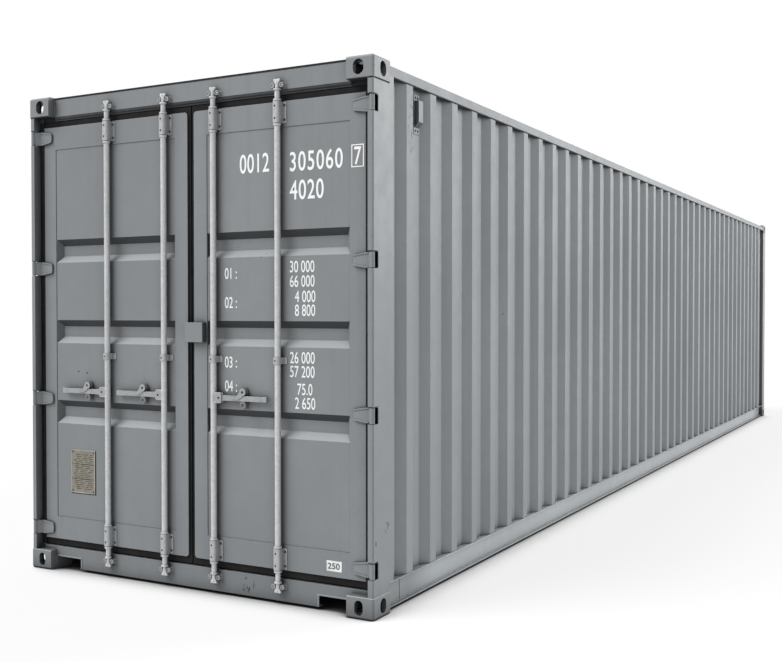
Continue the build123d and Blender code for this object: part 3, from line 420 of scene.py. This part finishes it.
def painted_steel(
    name,
    colour,
    wear_and_highlight=0.8,
    reach=0.10,
    depth=0.80,
    underside_shade=0.95,
    crevice=0.028,
    gloss=0.2,
    shade_right_faces=0.0,
    chips=(),
    shaded_places=(),
):
    """Paint with patches, drips, rust and chips, and with painted shade and highlights; reach and
    crevice are how far its painted shade spreads in corners and in creases, in metres.

    The wear factor brightens edges, partly as worn paint and partly as a painted highlight; the
    factor for faces towards the right side paints shade on them; chips are places where the paint
    is off, and the listed places get painted shade all over.
    """
    material, tree, shader = new_material(name)
    broad = ramp(tree, noise(tree, 0.8, 3.0), 0.35, 0.65)
    mottle = noise(tree, 11.0, 6.0, 0.6)
    drips = noise(tree, 1.0, 5.0, 0.6, (13.0, 13.0, 0.45))
    base = mix(tree, broad, shade(colour, DARK_PATCH), shade(colour, PALE_PATCH))
    base = mix(tree, ramp(tree, mottle, 0.35, 0.7, 0.0, 0.35), base, shade(colour, MOTTLE))
    base = mix(tree, ramp(tree, drips, 0.55, 0.78, 0.0, 0.16), base, shade(colour, DRIP))
    base = shade_and_highlight(tree, base, colour, reach, depth, underside_shade, crevice)
    # Painted shade on faces turned towards the right side
    if shade_right_faces:
        turned_away = ramp(tree, facing(tree, "X"), 0.20, 0.60, 0.0, shade_right_faces)
        base = mix(tree, turned_away, base, shade(colour, RIGHT_SIDE_SHADE))
    # Painted shade all over at the listed places
    if shaded_places:
        base = mix(tree, multiply(tree, near(tree, shaded_places), 0.55), base, shade(colour, PLACE_SHADE))
    # Worn edges, partly wear and partly a painted highlight
    edges, rounded = edge_mask(tree, 0.0035)
    patches = ramp(tree, noise(tree, 21.0, 5.0, 0.65), 0.42, 0.60, 0.25, 1.0)
    worn_and_highlit = multiply(tree, multiply(tree, edges, patches), wear_and_highlight)
    base = mix(tree, worn_and_highlit, base, shade(colour, WORN_EDGE_HIGHLIGHT))
    spots = ramp(tree, noise(tree, 46.0, 2.0, 0.5), 0.735, 0.75)
    rusty = ramp(tree, noise(tree, 1.6, 2.0, 0.5), 0.56, 0.68)
    base = mix(tree, multiply(tree, spots, rusty), base, RUST)
    if chips:
        flakes = ramp(tree, noise(tree, 75.0, 3.0, 0.6, (1.0, 1.0, 0.35)), 0.575, 0.60)
        base = mix(tree, multiply(tree, flakes, near(tree, chips)), base, CHIP)
    dents = bump(tree, noise(tree, 1.7, 2.0), 0.0006, rounded)
    grain = bump(tree, noise(tree, 240.0, 2.0), 0.00012, dents)
    rough = ramp(tree, mottle, 0.3, 0.7, 0.46, 0.54)
    connect(tree, shader, {"Base Color": base, "Roughness": rough, "Normal": grain})
    set_values(shader, {"Specular IOR Level": gloss})
    return material


def zinc(name, colour, roughness=0.50, metal=0.30, stains=()):
    """Dull zinc with streaks and rust spots, painted shade in corners and a painted highlight on
    edges.
    """
    material, tree, shader = new_material(name)
    flakes = noise(tree, 55.0, 5.0, 0.65)
    patches = ramp(tree, flakes, 0.35, 0.65)
    base = mix(tree, patches, shade(colour, ZINC_DARK), shade(colour, ZINC_PALE))
    streaks = ramp(tree, noise(tree, 1.0, 4.0, 0.6, (30.0, 30.0, 2.2)), 0.5, 0.72, 0.0, 0.35)
    base = mix(tree, streaks, base, shade(colour, ZINC_STREAK))
    spots = ramp(tree, noise(tree, 60.0, 2.0), 0.73, 0.76, 0.0, 0.8)
    base = mix(tree, spots, base, RUST)
    # Painted shade in corners
    corners = multiply(tree, sheltered(tree, 0.04, 0.15, 0.85), 0.85)
    base = mix(tree, corners, base, shade(colour, ZINC_CORNER_SHADE))
    if stains:
        stained = multiply(tree, near(tree, stains), 0.65)
        base = mix(tree, stained, base, shade(colour, ZINC_STAIN))
    # Painted highlight on edges
    edges, rounded = edge_mask(tree, 0.0015)
    base = mix(tree, multiply(tree, edges, 0.70), base, shade(colour, ZINC_EDGE_HIGHLIGHT))
    span = 0.12
    rough = ramp(tree, flakes, 0.3, 0.7, roughness - span, roughness + span)
    normal = bump(tree, flakes, 0.0003, rounded)
    connect(tree, shader, {"Base Color": base, "Roughness": rough, "Normal": normal})
    set_values(shader, {"Metallic": metal, "Specular IOR Level": 0.5})
    return material


def plywood(name):
    """Worn boards with dark seams between them."""
    board = 1.16
    light, dark_grain = (0.36, 0.22, 0.115), (0.20, 0.115, 0.055)
    material, tree, shader = new_material(name)
    split = put(tree, "ShaderNodeSeparateXYZ", links={"Vector": object_point(tree)})
    grain = noise(tree, 1.0, 6.0, 0.6, (3.0, 70.0, 70.0))
    broad = noise(tree, 2.4, 4.0, 0.6)
    base = mix(tree, ramp(tree, grain, 0.35, 0.65), dark_grain, light)
    base = mix(tree, ramp(tree, broad, 0.45, 0.7, 0.0, 0.5), base, (0.11, 0.08, 0.06))
    across = maths(tree, "PINGPONG", split.outputs["X"], board)
    along = maths(tree, "PINGPONG", maths(tree, "ADD", split.outputs["Y"], 40.0), board)
    seam = ramp(tree, maths(tree, "MINIMUM", across, along), 0.003, 0.006, 1.0, 0.0)
    base = mix(tree, seam, base, (0.015, 0.012, 0.010))
    rough = ramp(tree, broad, 0.3, 0.7, 0.5, 0.75)
    height = maths(tree, "SUBTRACT", grain, multiply(tree, seam, 3.0))
    normal = bump(tree, height, 0.0008)
    connect(tree, shader, {"Base Color": base, "Roughness": rough, "Normal": normal})
    return material


def two_tone(name, tones, pattern, spread, rough, relief, relief_pattern=None, values=None):
    """Two colours in a noise pattern, with relief from the same pattern or from its own."""
    material, tree, shader = new_material(name)
    mask = ramp(tree, noise(tree, *pattern), *spread)
    height = noise(tree, *relief_pattern) if relief_pattern else mask
    colour = mix(tree, mask, *tones)
    connect(tree, shader, {"Base Color": colour, "Normal": bump(tree, height, relief)})
    if rough:
        connect(tree, shader, {"Roughness": ramp(tree, mask, 0.0, 1.0, *rough)})
    set_values(shader, values or {})
    return material


def matte_dusty(name, colour):
    """A dusty flat tone: ink, paper, a seam, or a dark strip that paints shadow."""
    return two_tone(
        name,
        (shade(colour, 0.8), shade(colour, 1.25)),
        (9.0, 5.0, 0.6),
        (0.35, 0.7),
        (0.60, 0.80),
        0.0006,
        (40.0, 3.0),
        {"Specular IOR Level": 0.15},
    )


# Mesh pieces

def new_piece(name, bm, material, body):
    mesh = bpy.data.meshes.new(name)
    bm.normal_update()
    bm.to_mesh(mesh)
    bm.free()
    piece = bpy.data.objects.new(name, mesh)
    bpy.context.scene.collection.objects.link(piece)
    mesh.materials.append(material)
    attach(piece, body)


def spot(x, depth, z):
    """A place behind the face of the rear castings."""
    return Vector((x, REAR + depth, z))


def join_rings(bm, rings):
    """Joins a row of rings into one tube, with its ends left open."""
    count = len(rings[0])
    for low, high in zip(rings, rings[1:]):
        for i in range(count):
            j = (i + 1) % count
            bm.faces.new((low[i], low[j], high[j], high[i]))


def turned(bm, place, outward, profile, sides):
    """A turned shape from (radius, height) points, standing on place and pointing outward."""
    spin = Vector(outward).to_track_quat("Z", "Y").to_matrix().to_4x4()
    at = Matrix.Translation(place) @ spin
    rings = []
    for radius, height in profile:
        ring = []
        for i in range(sides):
            angle = 2 * math.pi * i / sides
            local = Vector((radius * math.cos(angle), radius * math.sin(angle), height))
            ring.append(bm.verts.new(at @ local))
        rings.append(ring)
    join_rings(bm, rings)
    bm.faces.new(rings[-1])
    bm.faces.new(list(reversed(rings[0])))


def hex_bolt(bm, place, outward, size):
    """A bolt's head on a washer; size is half the head's width over its corners."""
    washer = [(size * 1.25, 0.0), (size * 1.25, size * 0.16), (size * 1.15, size * 0.22)]
    turned(bm, place, outward, washer, 16)
    top = Vector(place) + Vector(outward) * size * 0.2
    head = [(size * 0.95, 0.0), (size, size * 0.08), (size, size * 0.5), (size * 0.82, size * 0.62)]
    turned(bm, top, outward, head, 6)


def dome_rivet(bm, place, outward, radius):
    """A rivet's head, a little lower than half a ball."""
    flatness = 0.7
    profile = [(radius, 0.0)]
    for step in range(1, 5):
        angle = step * math.pi / 10
        profile.append((radius * math.cos(angle), radius * flatness * math.sin(angle)))
    turned(bm, place, outward, profile, 12)


def bead(bm, start, end, radius, outward):
    """A weld bead with uneven ripples, from start to end, half round towards outward."""
    start, end, outward = Vector(start), Vector(end), Vector(outward).normalized()
    run = end - start
    ripple, flatness = 0.035, 0.7
    steps = max(4, int(run.length / ripple))
    across = run.normalized().cross(outward).normalized()
    rings = []
    for i in range(steps + 1):
        at = start + run * (i / steps)
        r = radius * random.uniform(0.8, 1.15)
        ring = []
        for k in range(5):
            angle = math.pi * k / 4
            rise = outward * r * flatness * math.sin(angle)
            ring.append(bm.verts.new(at + across * r * math.cos(angle) + rise))
        rings.append(ring)
    join_rings(bm, rings)
    bm.faces.new(list(reversed(rings[0])))
    bm.faces.new(rings[-1])


def block(bm, centre, size):
    at = Matrix.Translation(centre) @ Matrix.Diagonal((*size, 1.0))
    return bmesh.ops.create_cube(bm, size=1.0, matrix=at)["verts"]


def chamfered_block(bm, low, high):
    """A block between two corners, with chamfered edges."""
    size = Vector(high) - Vector(low)
    verts = block(bm, (Vector(low) + Vector(high)) / 2, size)
    edges = {edge for vert in verts for edge in vert.link_edges}
    chamfer = min(size) * 0.25
    bmesh.ops.bevel(bm, geom=list(edges), offset=chamfer, segments=1, affect="EDGES")


def side_block(bm, side, x, depth, z):
    """A chamfered block at the left (-1) or right (1), over spans of X, depth and height."""
    inner, outer = sorted((side * x[0], side * x[1]))
    chamfered_block(bm, spot(inner, depth[0], z[0]), spot(outer, depth[1], z[1]))


def stroke(bm, x, z, y):
    """A flat bar on the door, over the spans x and z, standing out from y."""
    thickness = 0.0006
    size = Vector((x[1] - x[0], thickness, z[1] - z[0]))
    block(bm, Vector(((x[0] + x[1]) / 2, y - thickness / 2, (z[0] + z[1]) / 2)), size)


def outline_box(bm, low, high, width, y):
    """A rectangle drawn with four strokes."""
    (x0, z0), (x1, z1) = low, high
    stroke(bm, (x0, x1), (z0, z0 + width), y)
    stroke(bm, (x0, x1), (z1 - width, z1), y)
    stroke(bm, (x0, x0 + width), (z0 + width, z1 - width), y)
    stroke(bm, (x1 - width, x1), (z0 + width, z1 - width), y)


def plate(name, low, high, y, thickness, material, body):
    """A thin plate with chamfered rims, flat on the door."""
    (x0, z0), (x1, z1) = low, high
    rim = thickness * 0.6
    outer = ((x0, z0), (x1, z0), (x1, z1), (x0, z1))
    inner = ((x0 + rim, z0 + rim), (x1 - rim, z0 + rim), (x1 - rim, z1 - rim), (x0 + rim, z1 - rim))
    bm = bmesh.new()
    back = [bm.verts.new((x, y, z)) for x, z in outer]
    face = [bm.verts.new((x, y - thickness, z)) for x, z in inner]
    join_rings(bm, [back, face])
    bm.faces.new(face)
    bm.faces.new(list(reversed(back)))
    new_piece(name, bm, material, body)


# Markings: plain numbers, with no letters

def number_row(bm, text, left, bottom, height, y, squeeze, bold=0.003, spacing=1.0):
    """A row of raised numbers on the door, from its left end and its foot."""
    curve = bpy.data.curves.new("row", "FONT")
    curve.body = text
    curve.size = 1.0
    curve.extrude = 0.004
    curve.offset = bold
    curve.space_character = spacing
    holder = bpy.data.objects.new("row", curve)
    bpy.context.scene.collection.objects.link(holder)
    bpy.context.view_layer.update()
    mesh = bpy.data.meshes.new_from_object(holder)
    low_x = min(v.co.x for v in mesh.vertices)
    low_y = min(v.co.y for v in mesh.vertices)
    high_y = max(v.co.y for v in mesh.vertices)
    scale = height / (high_y - low_y)
    for v in mesh.vertices:
        x = left + (v.co.x - low_x) * scale * squeeze
        z = bottom + (v.co.y - low_y) * scale
        v.co = (x, y - v.co.z * scale, z)
    bm.from_mesh(mesh)
    bpy.data.meshes.remove(mesh)
    bpy.data.objects.remove(holder)


def door_numbers():
    """Rows of numbers on the right door's panel, and one number in a box on its stile."""
    bold = 0.009
    box_low, box_high, box_line = (1.059, 2.334), (1.134, 2.452), 0.0055
    panel_y = PANEL_FACE - NUMBER_LIFT
    stile_y = DOOR_FACE - NUMBER_LIFT
    bm = bmesh.new()
    for text, left, bottom, squeeze, spacing in LARGE_ROWS:
        number_row(bm, text, left, bottom, LARGE_NUMBER, panel_y, squeeze, bold, spacing)
    for text, left, bottom in SMALL_ROWS:
        number_row(bm, text, left, bottom, SMALL_NUMBER, panel_y, SMALL_SQUEEZE)
    number_row(bm, "7", 1.076, 2.346, 0.094, stile_y, 0.70, bold)
    outline_box(bm, box_low, box_high, box_line, stile_y)
    new_piece("door_numbers", bm, white, "right_door")


def size_label():
    """A small white label with a dark number."""
    low, high = (0.905, 0.217), (0.998, 0.273)
    plate("size_label", low, high, DOOR_FACE, 0.0006, paper, "right_door")
    bm = bmesh.new()
    number_row(bm, "250", 0.912, 0.229, 0.032, DOOR_FACE - 0.0008, 1.15, 0.012)
    new_piece("size_label_number", bm, ink, "right_door")


def plate_strokes(low, high, y):
    """Short strokes of uneven lengths in even rows, and two ruled lines across the plate."""
    margin, end_margin, rule_margin = 0.020, 0.018, 0.007
    half_height, pitch = 0.0016, 0.0115
    bm = bmesh.new()
    row = high[1] - 0.030
    while row > low[1] + margin:
        start = low[0] + random.uniform(0.022, 0.050)
        while start < high[0] - 0.035:
            end = min(start + random.uniform(0.018, 0.060), high[0] - end_margin)
            stroke(bm, (start, end), (row - half_height, row + half_height), y)
            start = end + random.uniform(0.006, 0.024)
        row -= pitch
    for z in (0.657, 0.569):
        stroke(bm, (low[0] + rule_margin, high[0] - rule_margin), (z, z + 0.002), y)
    new_piece("data_plate_lines", bm, ink, "left_door")


def data_plate():
    """A tan plate with a pale rim, plain strokes and four rivets, on a dark backing that paints the
    plate's drop shadow.
    """
    low, high = (-0.936, 0.482), (-0.740, 0.747)
    rim_inset, rim_width, rivet_inset = 0.001, 0.005, 0.014
    y = PANEL_FACE - 0.0016
    # The plate's painted drop shadow: a dark plate a little lower and to the right
    shadow_low, shadow_high = (-0.934, 0.477), (-0.733, 0.744)
    plate("data_plate_shadow", shadow_low, shadow_high, PANEL_FACE, 0.0010, shade_and_joint_black, "left_door")
    plate("data_plate", low, high, PANEL_FACE, 0.0018, tan, "left_door")
    bm = bmesh.new()
    rim_low = (low[0] + rim_inset, low[1] + rim_inset)
    rim_high = (high[0] - rim_inset, high[1] - rim_inset)
    outline_box(bm, rim_low, rim_high, rim_width, y)
    new_piece("data_plate_rim", bm, pale, "left_door")
    plate_strokes(low, high, y)
    bm = bmesh.new()
    for x in (low[0] + rivet_inset, high[0] - rivet_inset):
        for z in (low[1] + rivet_inset, high[1] - rivet_inset):
            dome_rivet(bm, Vector((x, PANEL_FACE - 0.0015, z)), TOWARD, 0.0052)
    new_piece("data_plate_rivets", bm, dark, "left_door")


# Fittings on the doors and the locking gear

def door_fastenings():
    """Dark rivets and bolts on the bars' brackets and guides, and rivets on the catches."""
    rivet, guide_rivet, catch_rivet, bolt = 0.0055, 0.0050, 0.0065, 0.0055
    rivet_shift, guide_shift, bolt_shift = -0.003, -0.004, 0.033
    for door, bars in DOOR_BARS.items():
        bm = bmesh.new()
        for i in bars:
            x = BARS[i]
            for z in BRACKETS:
                for dz in (-0.033, 0.033):
                    dome_rivet(bm, spot(x + rivet_shift, BRACKET_FRONT, z + dz), TOWARD, rivet)
                for dz in (-0.039, 0.039):
                    hex_bolt(bm, spot(x + bolt_shift, BRACKET_FLANGE, z + dz), TOWARD, bolt)
            dome_rivet(bm, spot(x + guide_shift, BRACKET_FRONT, GUIDE), TOWARD, guide_rivet)
        for x, z in CATCHES[door]:
            dome_rivet(bm, spot(x, CATCH_FRONT, z), TOWARD, catch_rivet)
        new_piece(door + "_fastenings", bm, dark, door)


def cam_head(bm, x, z, up):
    """A flat-topped wedge that fills the fork of a cam, seen from the doors' side."""
    chamfer = 0.0022
    front, back = [], []
    for dx, dz in CAM_WEDGE:
        front.append(bm.verts.new(spot(x + dx, CAM_FRONT, z + up * dz)))
        back.append(bm.verts.new(spot(x + dx, CAM_BACK, z + up * dz)))
    made = [bm.faces.new(front), bm.faces.new(list(reversed(back)))]
    for i in range(len(CAM_WEDGE)):
        j = (i + 1) % len(CAM_WEDGE)
        made.append(bm.faces.new((front[j], front[i], back[i], back[j])))
    bmesh.ops.recalc_face_normals(bm, faces=made)
    edges = {edge for face in made for edge in face.edges}
    bmesh.ops.bevel(bm, geom=list(edges), offset=chamfer, segments=1, affect="EDGES")


def bar_fittings():
    """Rings, wedges in the cams' forks and dark rings that paint the shadow in the gaps at the
    brackets' ends on each bar, and pins in the hubs.
    """
    hub_pin = 0.0062
    for i, x in enumerate(BARS):
        number = i + 1
        bar = f"lock_bar_{number}"
        bm = bmesh.new()
        for z in BAR_RINGS:
            turned(bm, spot(x, BAR_DEPTH, z), UP, RING, 28)
        new_piece(f"bar_rings_{number}", bm, bar_zinc, bar)
        bm = bmesh.new()
        for z, up in CAM_FORKS:
            cam_head(bm, x, z, up)
        new_piece(f"cam_heads_{number}", bm, bar_zinc, bar)
        bm = bmesh.new()
        # Dark rings that paint the shadow in the gaps at the brackets' ends
        for z in BAR_GAPS:
            turned(bm, spot(x, BAR_DEPTH, z), UP, GAP_SHADE_RING, 24)
        new_piece(f"bar_gap_shade_{number}", bm, dark, bar)
        if i < len(HUB_SIDES):
            bm = bmesh.new()
            hub_x = x + HUB_SIDES[i] * HUB_REACH
            dome_rivet(bm, spot(hub_x, HUB_FRONT, HUB), TOWARD, hub_pin)
            new_piece(f"hub_pin_{number}", bm, dark, bar)


def keeper_pins():
    """A pin with a domed end in each drilled boss of the keepers."""
    bm = bmesh.new()
    for x in BARS:
        for z in KEEPERS:
            for dx in (-KEEPER_BOSS, KEEPER_BOSS):
                turned(bm, spot(x + dx, KEEPER_BACK, z), TOWARD, KEEPER_PIN, 14)
    new_piece("keeper_pins", bm, bar_zinc, "container")


def door_edge_seals():
    """A rubber lip between each door's hinge side and its post."""
    for side, door in ((-1, "left_door"), (1, "right_door")):
        bm = bmesh.new()
        side_block(bm, side, (1.1440, 1.1655), (0.0503, 0.0573), (0.188, 2.716))
        new_piece(door + "_edge_seal", bm, gasket, door)


def panel_rivets():
    """Two old screw holes in the left door, plugged with dark rivets."""
    bm = bmesh.new()
    for x, z in ((-0.872, 1.223), (-0.803, 1.216)):
        dome_rivet(bm, Vector((x, PANEL_FACE, z)), TOWARD, 0.0048)
    new_piece("panel_rivets", bm, dark, "left_door")


# Dark strips that paint shadow, welds, seams, rims and screws on the box

def strip(name, reach, depth, z, material):
    """A strip across the header, reaching as far to the left as to the right."""
    bm = bmesh.new()
    chamfered_block(bm, spot(-reach, depth[0], z[0]), spot(reach, depth[1], z[1]))
    new_piece(name, bm, material, "container")


def header_shadow_strips():
    """Dark strips that paint shadow along the header's top edge, painted shade in its step, a dark
    lip over the step that paints its shade, and painted shadow under the top castings.
    """
    low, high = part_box("door_header")
    foot, top = low.z, high.z
    top_span = (top - 0.007, top + 0.004)
    lip_span = (foot + 0.010, foot + 0.0255)
    step_span = (foot, foot + 0.0096)
    # Painted shadow along the top edge, painted shade on the lip and in the step
    strip("header_top_shadow", 1.056, (0.0495, 0.056), top_span, shade_and_joint_black)
    strip("header_lip", 1.0568, (0.0521, 0.0668), lip_span, lip_shade_grey)
    strip("header_step_shadow", 1.057, (0.0605, 0.0665), step_span, painted_shade_grey)
    # Painted shadow under the top castings
    bm = bmesh.new()
    for side in (-1, 1):
        side_block(bm, side, (1.057, 1.157), (0.0635, 0.0665), (foot, foot + 0.022))
    new_piece("header_end_shadows", bm, shade_and_joint_black, "container")


def sill_notch_rims():
    """Flat bars over and beside the notches in the sill, in the rails' lit paint, which paints a
    highlight on them.
    """
    depth = (0.0495, 0.0525)
    bm = bmesh.new()
    for side in (-1, 1):
        side_block(bm, side, (0.8570, 1.0560), depth, (0.0780, 0.0870))
        side_block(bm, side, (0.8480, 0.8570), depth, (0.0180, 0.0870))
    new_piece("sill_notch_rims", bm, lit_rail_paint, "container")


def frame_welds():
    """Weld beads where the corner castings meet the header and the sill."""
    x, depth, radius = 1.0575, 0.0515, 0.0032
    bm = bmesh.new()
    for side in (-1, 1):
        for low, high in ((2.784, 2.888), (0.030, 0.112)):
            bead(bm, spot(side * x, depth, low), spot(side * x, depth, high), radius, TOWARD)
    new_piece("frame_welds", bm, frame_paint, "container")


def post_joints():
    """Dark seams between the top castings and the rear posts, on the front and on the side."""
    z, radius = CASTING_JOINT, 0.0020
    depth, side_x = 0.0040, 1.2150
    bm = bmesh.new()
    for side in (-1, 1):
        bead(bm, spot(side * 1.186, depth, z), spot(side * 1.212, depth, z), radius, TOWARD)
        start, end = spot(side * side_x, 0.012, z), spot(side * side_x, 0.172, z)
        bead(bm, start, end, radius, (side, 0, 0))
    new_piece("post_joints", bm, shade_and_joint_black, "container")


def rail_seams():
    """Butt welds in the bottom rails near each corner."""
    x, low, high, radius = 1.1713, 0.024, 0.157, 0.0034
    bm = bmesh.new()
    for side in (-1, 1):
        for y in RAIL_SEAMS:
            bead(bm, (side * x, y, low), (side * x, y, high), radius, (side, 0, 0))
    new_piece("rail_seams", bm, seam_grey, "container")


def hinge_gap_shadows():
    """A dark line in the post above each hinge's cut-out, on the front and on the side, that paints
    the shadow in the gap.
    """
    height = 0.0055
    bm = bmesh.new()
    for side in (-1, 1):
        for hinge in HINGES:
            z = (hinge + HINGE_NOTCH, hinge + HINGE_NOTCH + height)
            side_block(bm, side, (1.1835, 1.2100), (0.0035, 0.0080), z)
            side_block(bm, side, (1.2080, 1.2156), (0.0100, 0.0560), z)
    new_piece("hinge_gap_shadows", bm, shade_and_joint_black, "container")


def rail_shadow_lines():
    """A dark line under the outer edge of each top side rail that paints the shadow there."""
    low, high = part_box("top_side_rail_right")
    end_gap, foot, top = 0.03, low.z - 0.0065, low.z + 0.0005
    bm = bmesh.new()
    for side in (-1, 1):
        inner, outer = sorted((side * 1.2078, side * 1.2142))
        chamfered_block(bm, (inner, low.y + end_gap, foot), (outer, high.y - end_gap, top))
    new_piece("rail_shadow_lines", bm, shade_and_joint_black, "container")


def vent_screws():
    """Four screws in the flanges of each vent."""
    flange_x, radius = 1.1779, 0.0068
    bm = bmesh.new()
    for side in (-1, 1):
        for y in VENTS:
            for z in (2.588, 2.771):
                for dy in (-0.015, 0.015):
                    dome_rivet(bm, (side * flange_x, y + dy, z), (side, 0, 0), radius)
    new_piece("vent_screws", bm, dark, "container")


make_camera()
make_world(horizon=1.0, zenith=0.30)
make_sun("side_key", 2.50, (0.50, 0.84, 0.30), softness=30)
make_sun("front_fill", 2.90, (-0.45, -0.50, 0.74), softness=35)
make_floor()

# Paints, with painted shade in corners, creases and on undersides, and painted highlights on tops
# and edges
side_paint = painted_steel(
    "side_paint", shade(GREY, 1.25), wear_and_highlight=0.5, underside_shade=0.6, crevice=0.045, gloss=0.08, chips=SIDE_CHIPS
)
# Painted shade on the doors' faces that look to the right
door_paint = painted_steel("door_paint", shade(GREY, 1.00), wear_and_highlight=0.8, underside_shade=0.89, shade_right_faces=0.55)
frame_paint = painted_steel("frame_paint", shade(GREY, 1.00), chips=FRAME_CHIPS)
sill_paint = painted_steel("sill_paint", shade(GREY, 0.88), chips=FRAME_CHIPS)
post_paint = painted_steel(
    "post_paint", shade(GREY, 1.05), reach=0.22, depth=0.95, crevice=0.08, chips=FRAME_CHIPS
)
casting_paint = painted_steel("casting_paint", shade(GREY, 1.02), wear_and_highlight=1.0, reach=0.16, depth=0.92)
# A lit copy of the grey, about twice as light, with painted shade near the castings
lit_rail_paint = painted_steel("lit_rail_paint", shade(GREY, 2.08), reach=0.16, depth=0.50, shaded_places=RAIL_ENDS)
roof_paint = painted_steel("roof_paint", shade(GREY, 0.77), wear_and_highlight=0.5, gloss=0.05)
underbody_paint = painted_steel("underbody_paint", (0.03, 0.03, 0.03), wear_and_highlight=0.2)
hinge_paint = painted_steel("hinge_paint", shade(GREY, 1.04), wear_and_highlight=0.9)

# Bare metal
galvanised = zinc("galvanised", (0.37, 0.38, 0.385))
catch_zinc = zinc("catch_zinc", (0.15, 0.155, 0.16))
keeper_zinc = zinc("keeper_zinc", (0.27, 0.28, 0.285))
handle_zinc = zinc("handle_zinc", (0.30, 0.31, 0.315), roughness=0.42, metal=0.40)
bar_zinc = zinc("bar_zinc", (0.49, 0.50, 0.505), stains=HUB_STAINS)
dark = two_tone(
    "dark_steel",
    ((0.020, 0.020, 0.021), (0.045, 0.041, 0.037)),
    pattern=(90.0, 4.0, 0.6),
    spread=(0.35, 0.7),
    rough=(0.50, 0.75),
    relief=0.0003,
    values={"Specular IOR Level": 0.3},
)
tan = two_tone(
    "tan_plate",
    ((0.215, 0.200, 0.160), (0.150, 0.140, 0.112)),
    pattern=(24.0, 6.0, 0.65),
    spread=(0.35, 0.7),
    rough=(0.42, 0.62),
    relief=0.0004,
    values={"Metallic": 0.2},
)

# Rubber, the numbers' paint, dark tones that paint shadow, seams, ink, paper and boards
gasket = two_tone(
    "gasket",
    ((0.007, 0.007, 0.007), (0.016, 0.016, 0.016)),
    pattern=(8.0, 5.0, 0.6),
    spread=(0.4, 0.75),
    rough=(0.65, 0.85),
    relief=0.0006,
    relief_pattern=(1.0, 2.0, 0.5, (320.0, 320.0, 3.0)),
    values={"Specular IOR Level": 0.12},
)
white = two_tone(
    "white_marking",
    ((0.71, 0.72, 0.72), (0.36, 0.37, 0.375)),
    pattern=(70.0, 5.0, 0.7),
    spread=(0.66, 0.75),
    rough=None,
    relief=0.0001,
    relief_pattern=(300.0,),
    values={"Roughness": 0.5},
)
# Black for strips that paint shadow and for the dark joints at the top castings, and greys for the
# painted shade in the header's step and on its lip
shade_and_joint_black = matte_dusty("shade_and_joint_black", (0.016, 0.016, 0.017))
painted_shade_grey = matte_dusty("painted_shade_grey", (0.052, 0.054, 0.056))
seam_grey = matte_dusty("seam_grey", (0.130, 0.137, 0.142))
lip_shade_grey = matte_dusty("lip_shade_grey", (0.044, 0.046, 0.048))
ink = matte_dusty("dark_ink", (0.030, 0.029, 0.026))
paper = matte_dusty("label_paper", (0.60, 0.61, 0.61))
pale = matte_dusty("pale_rim", (0.30, 0.30, 0.28))
deck = plywood("deck")

# The first word that is in a node's name gives its material; the rest have the frame's paint
BY_WORD = (
    ("gasket", gasket),
    ("lock_bar", bar_zinc),
    ("handle_", handle_zinc),
    ("catches", catch_zinc),
    ("brackets", galvanised),
    ("hinge_pins", galvanised),
    ("hinges", hinge_paint),
    ("cam_keepers", keeper_zinc),
    ("corner_castings", casting_paint),
    ("rear_post", post_paint),
    ("door_header", frame_paint),
    ("door_sill", sill_paint),
    ("door_", door_paint),
    ("lock_box", door_paint),
    ("bottom_side_rail", lit_rail_paint),
    ("top_side_rail", side_paint),
    ("_wall", side_paint),
    ("vents", side_paint),
    ("roof", roof_paint),
    ("crossmembers", underbody_paint),
    ("gooseneck_tunnel", underbody_paint),
    ("floor", deck),
)
for name, node in nodes.items():
    material = next((paint for word, paint in BY_WORD if word in name), frame_paint)
    node.data.materials.clear()
    node.data.materials.append(material)

door_numbers()
door_fastenings()
bar_fittings()
header_shadow_strips()
sill_notch_rims()
door_edge_seals()
frame_welds()
post_joints()
rail_seams()
hinge_gap_shadows()
rail_shadow_lines()
keeper_pins()
vent_screws()
panel_rivets()
data_plate()
size_label()
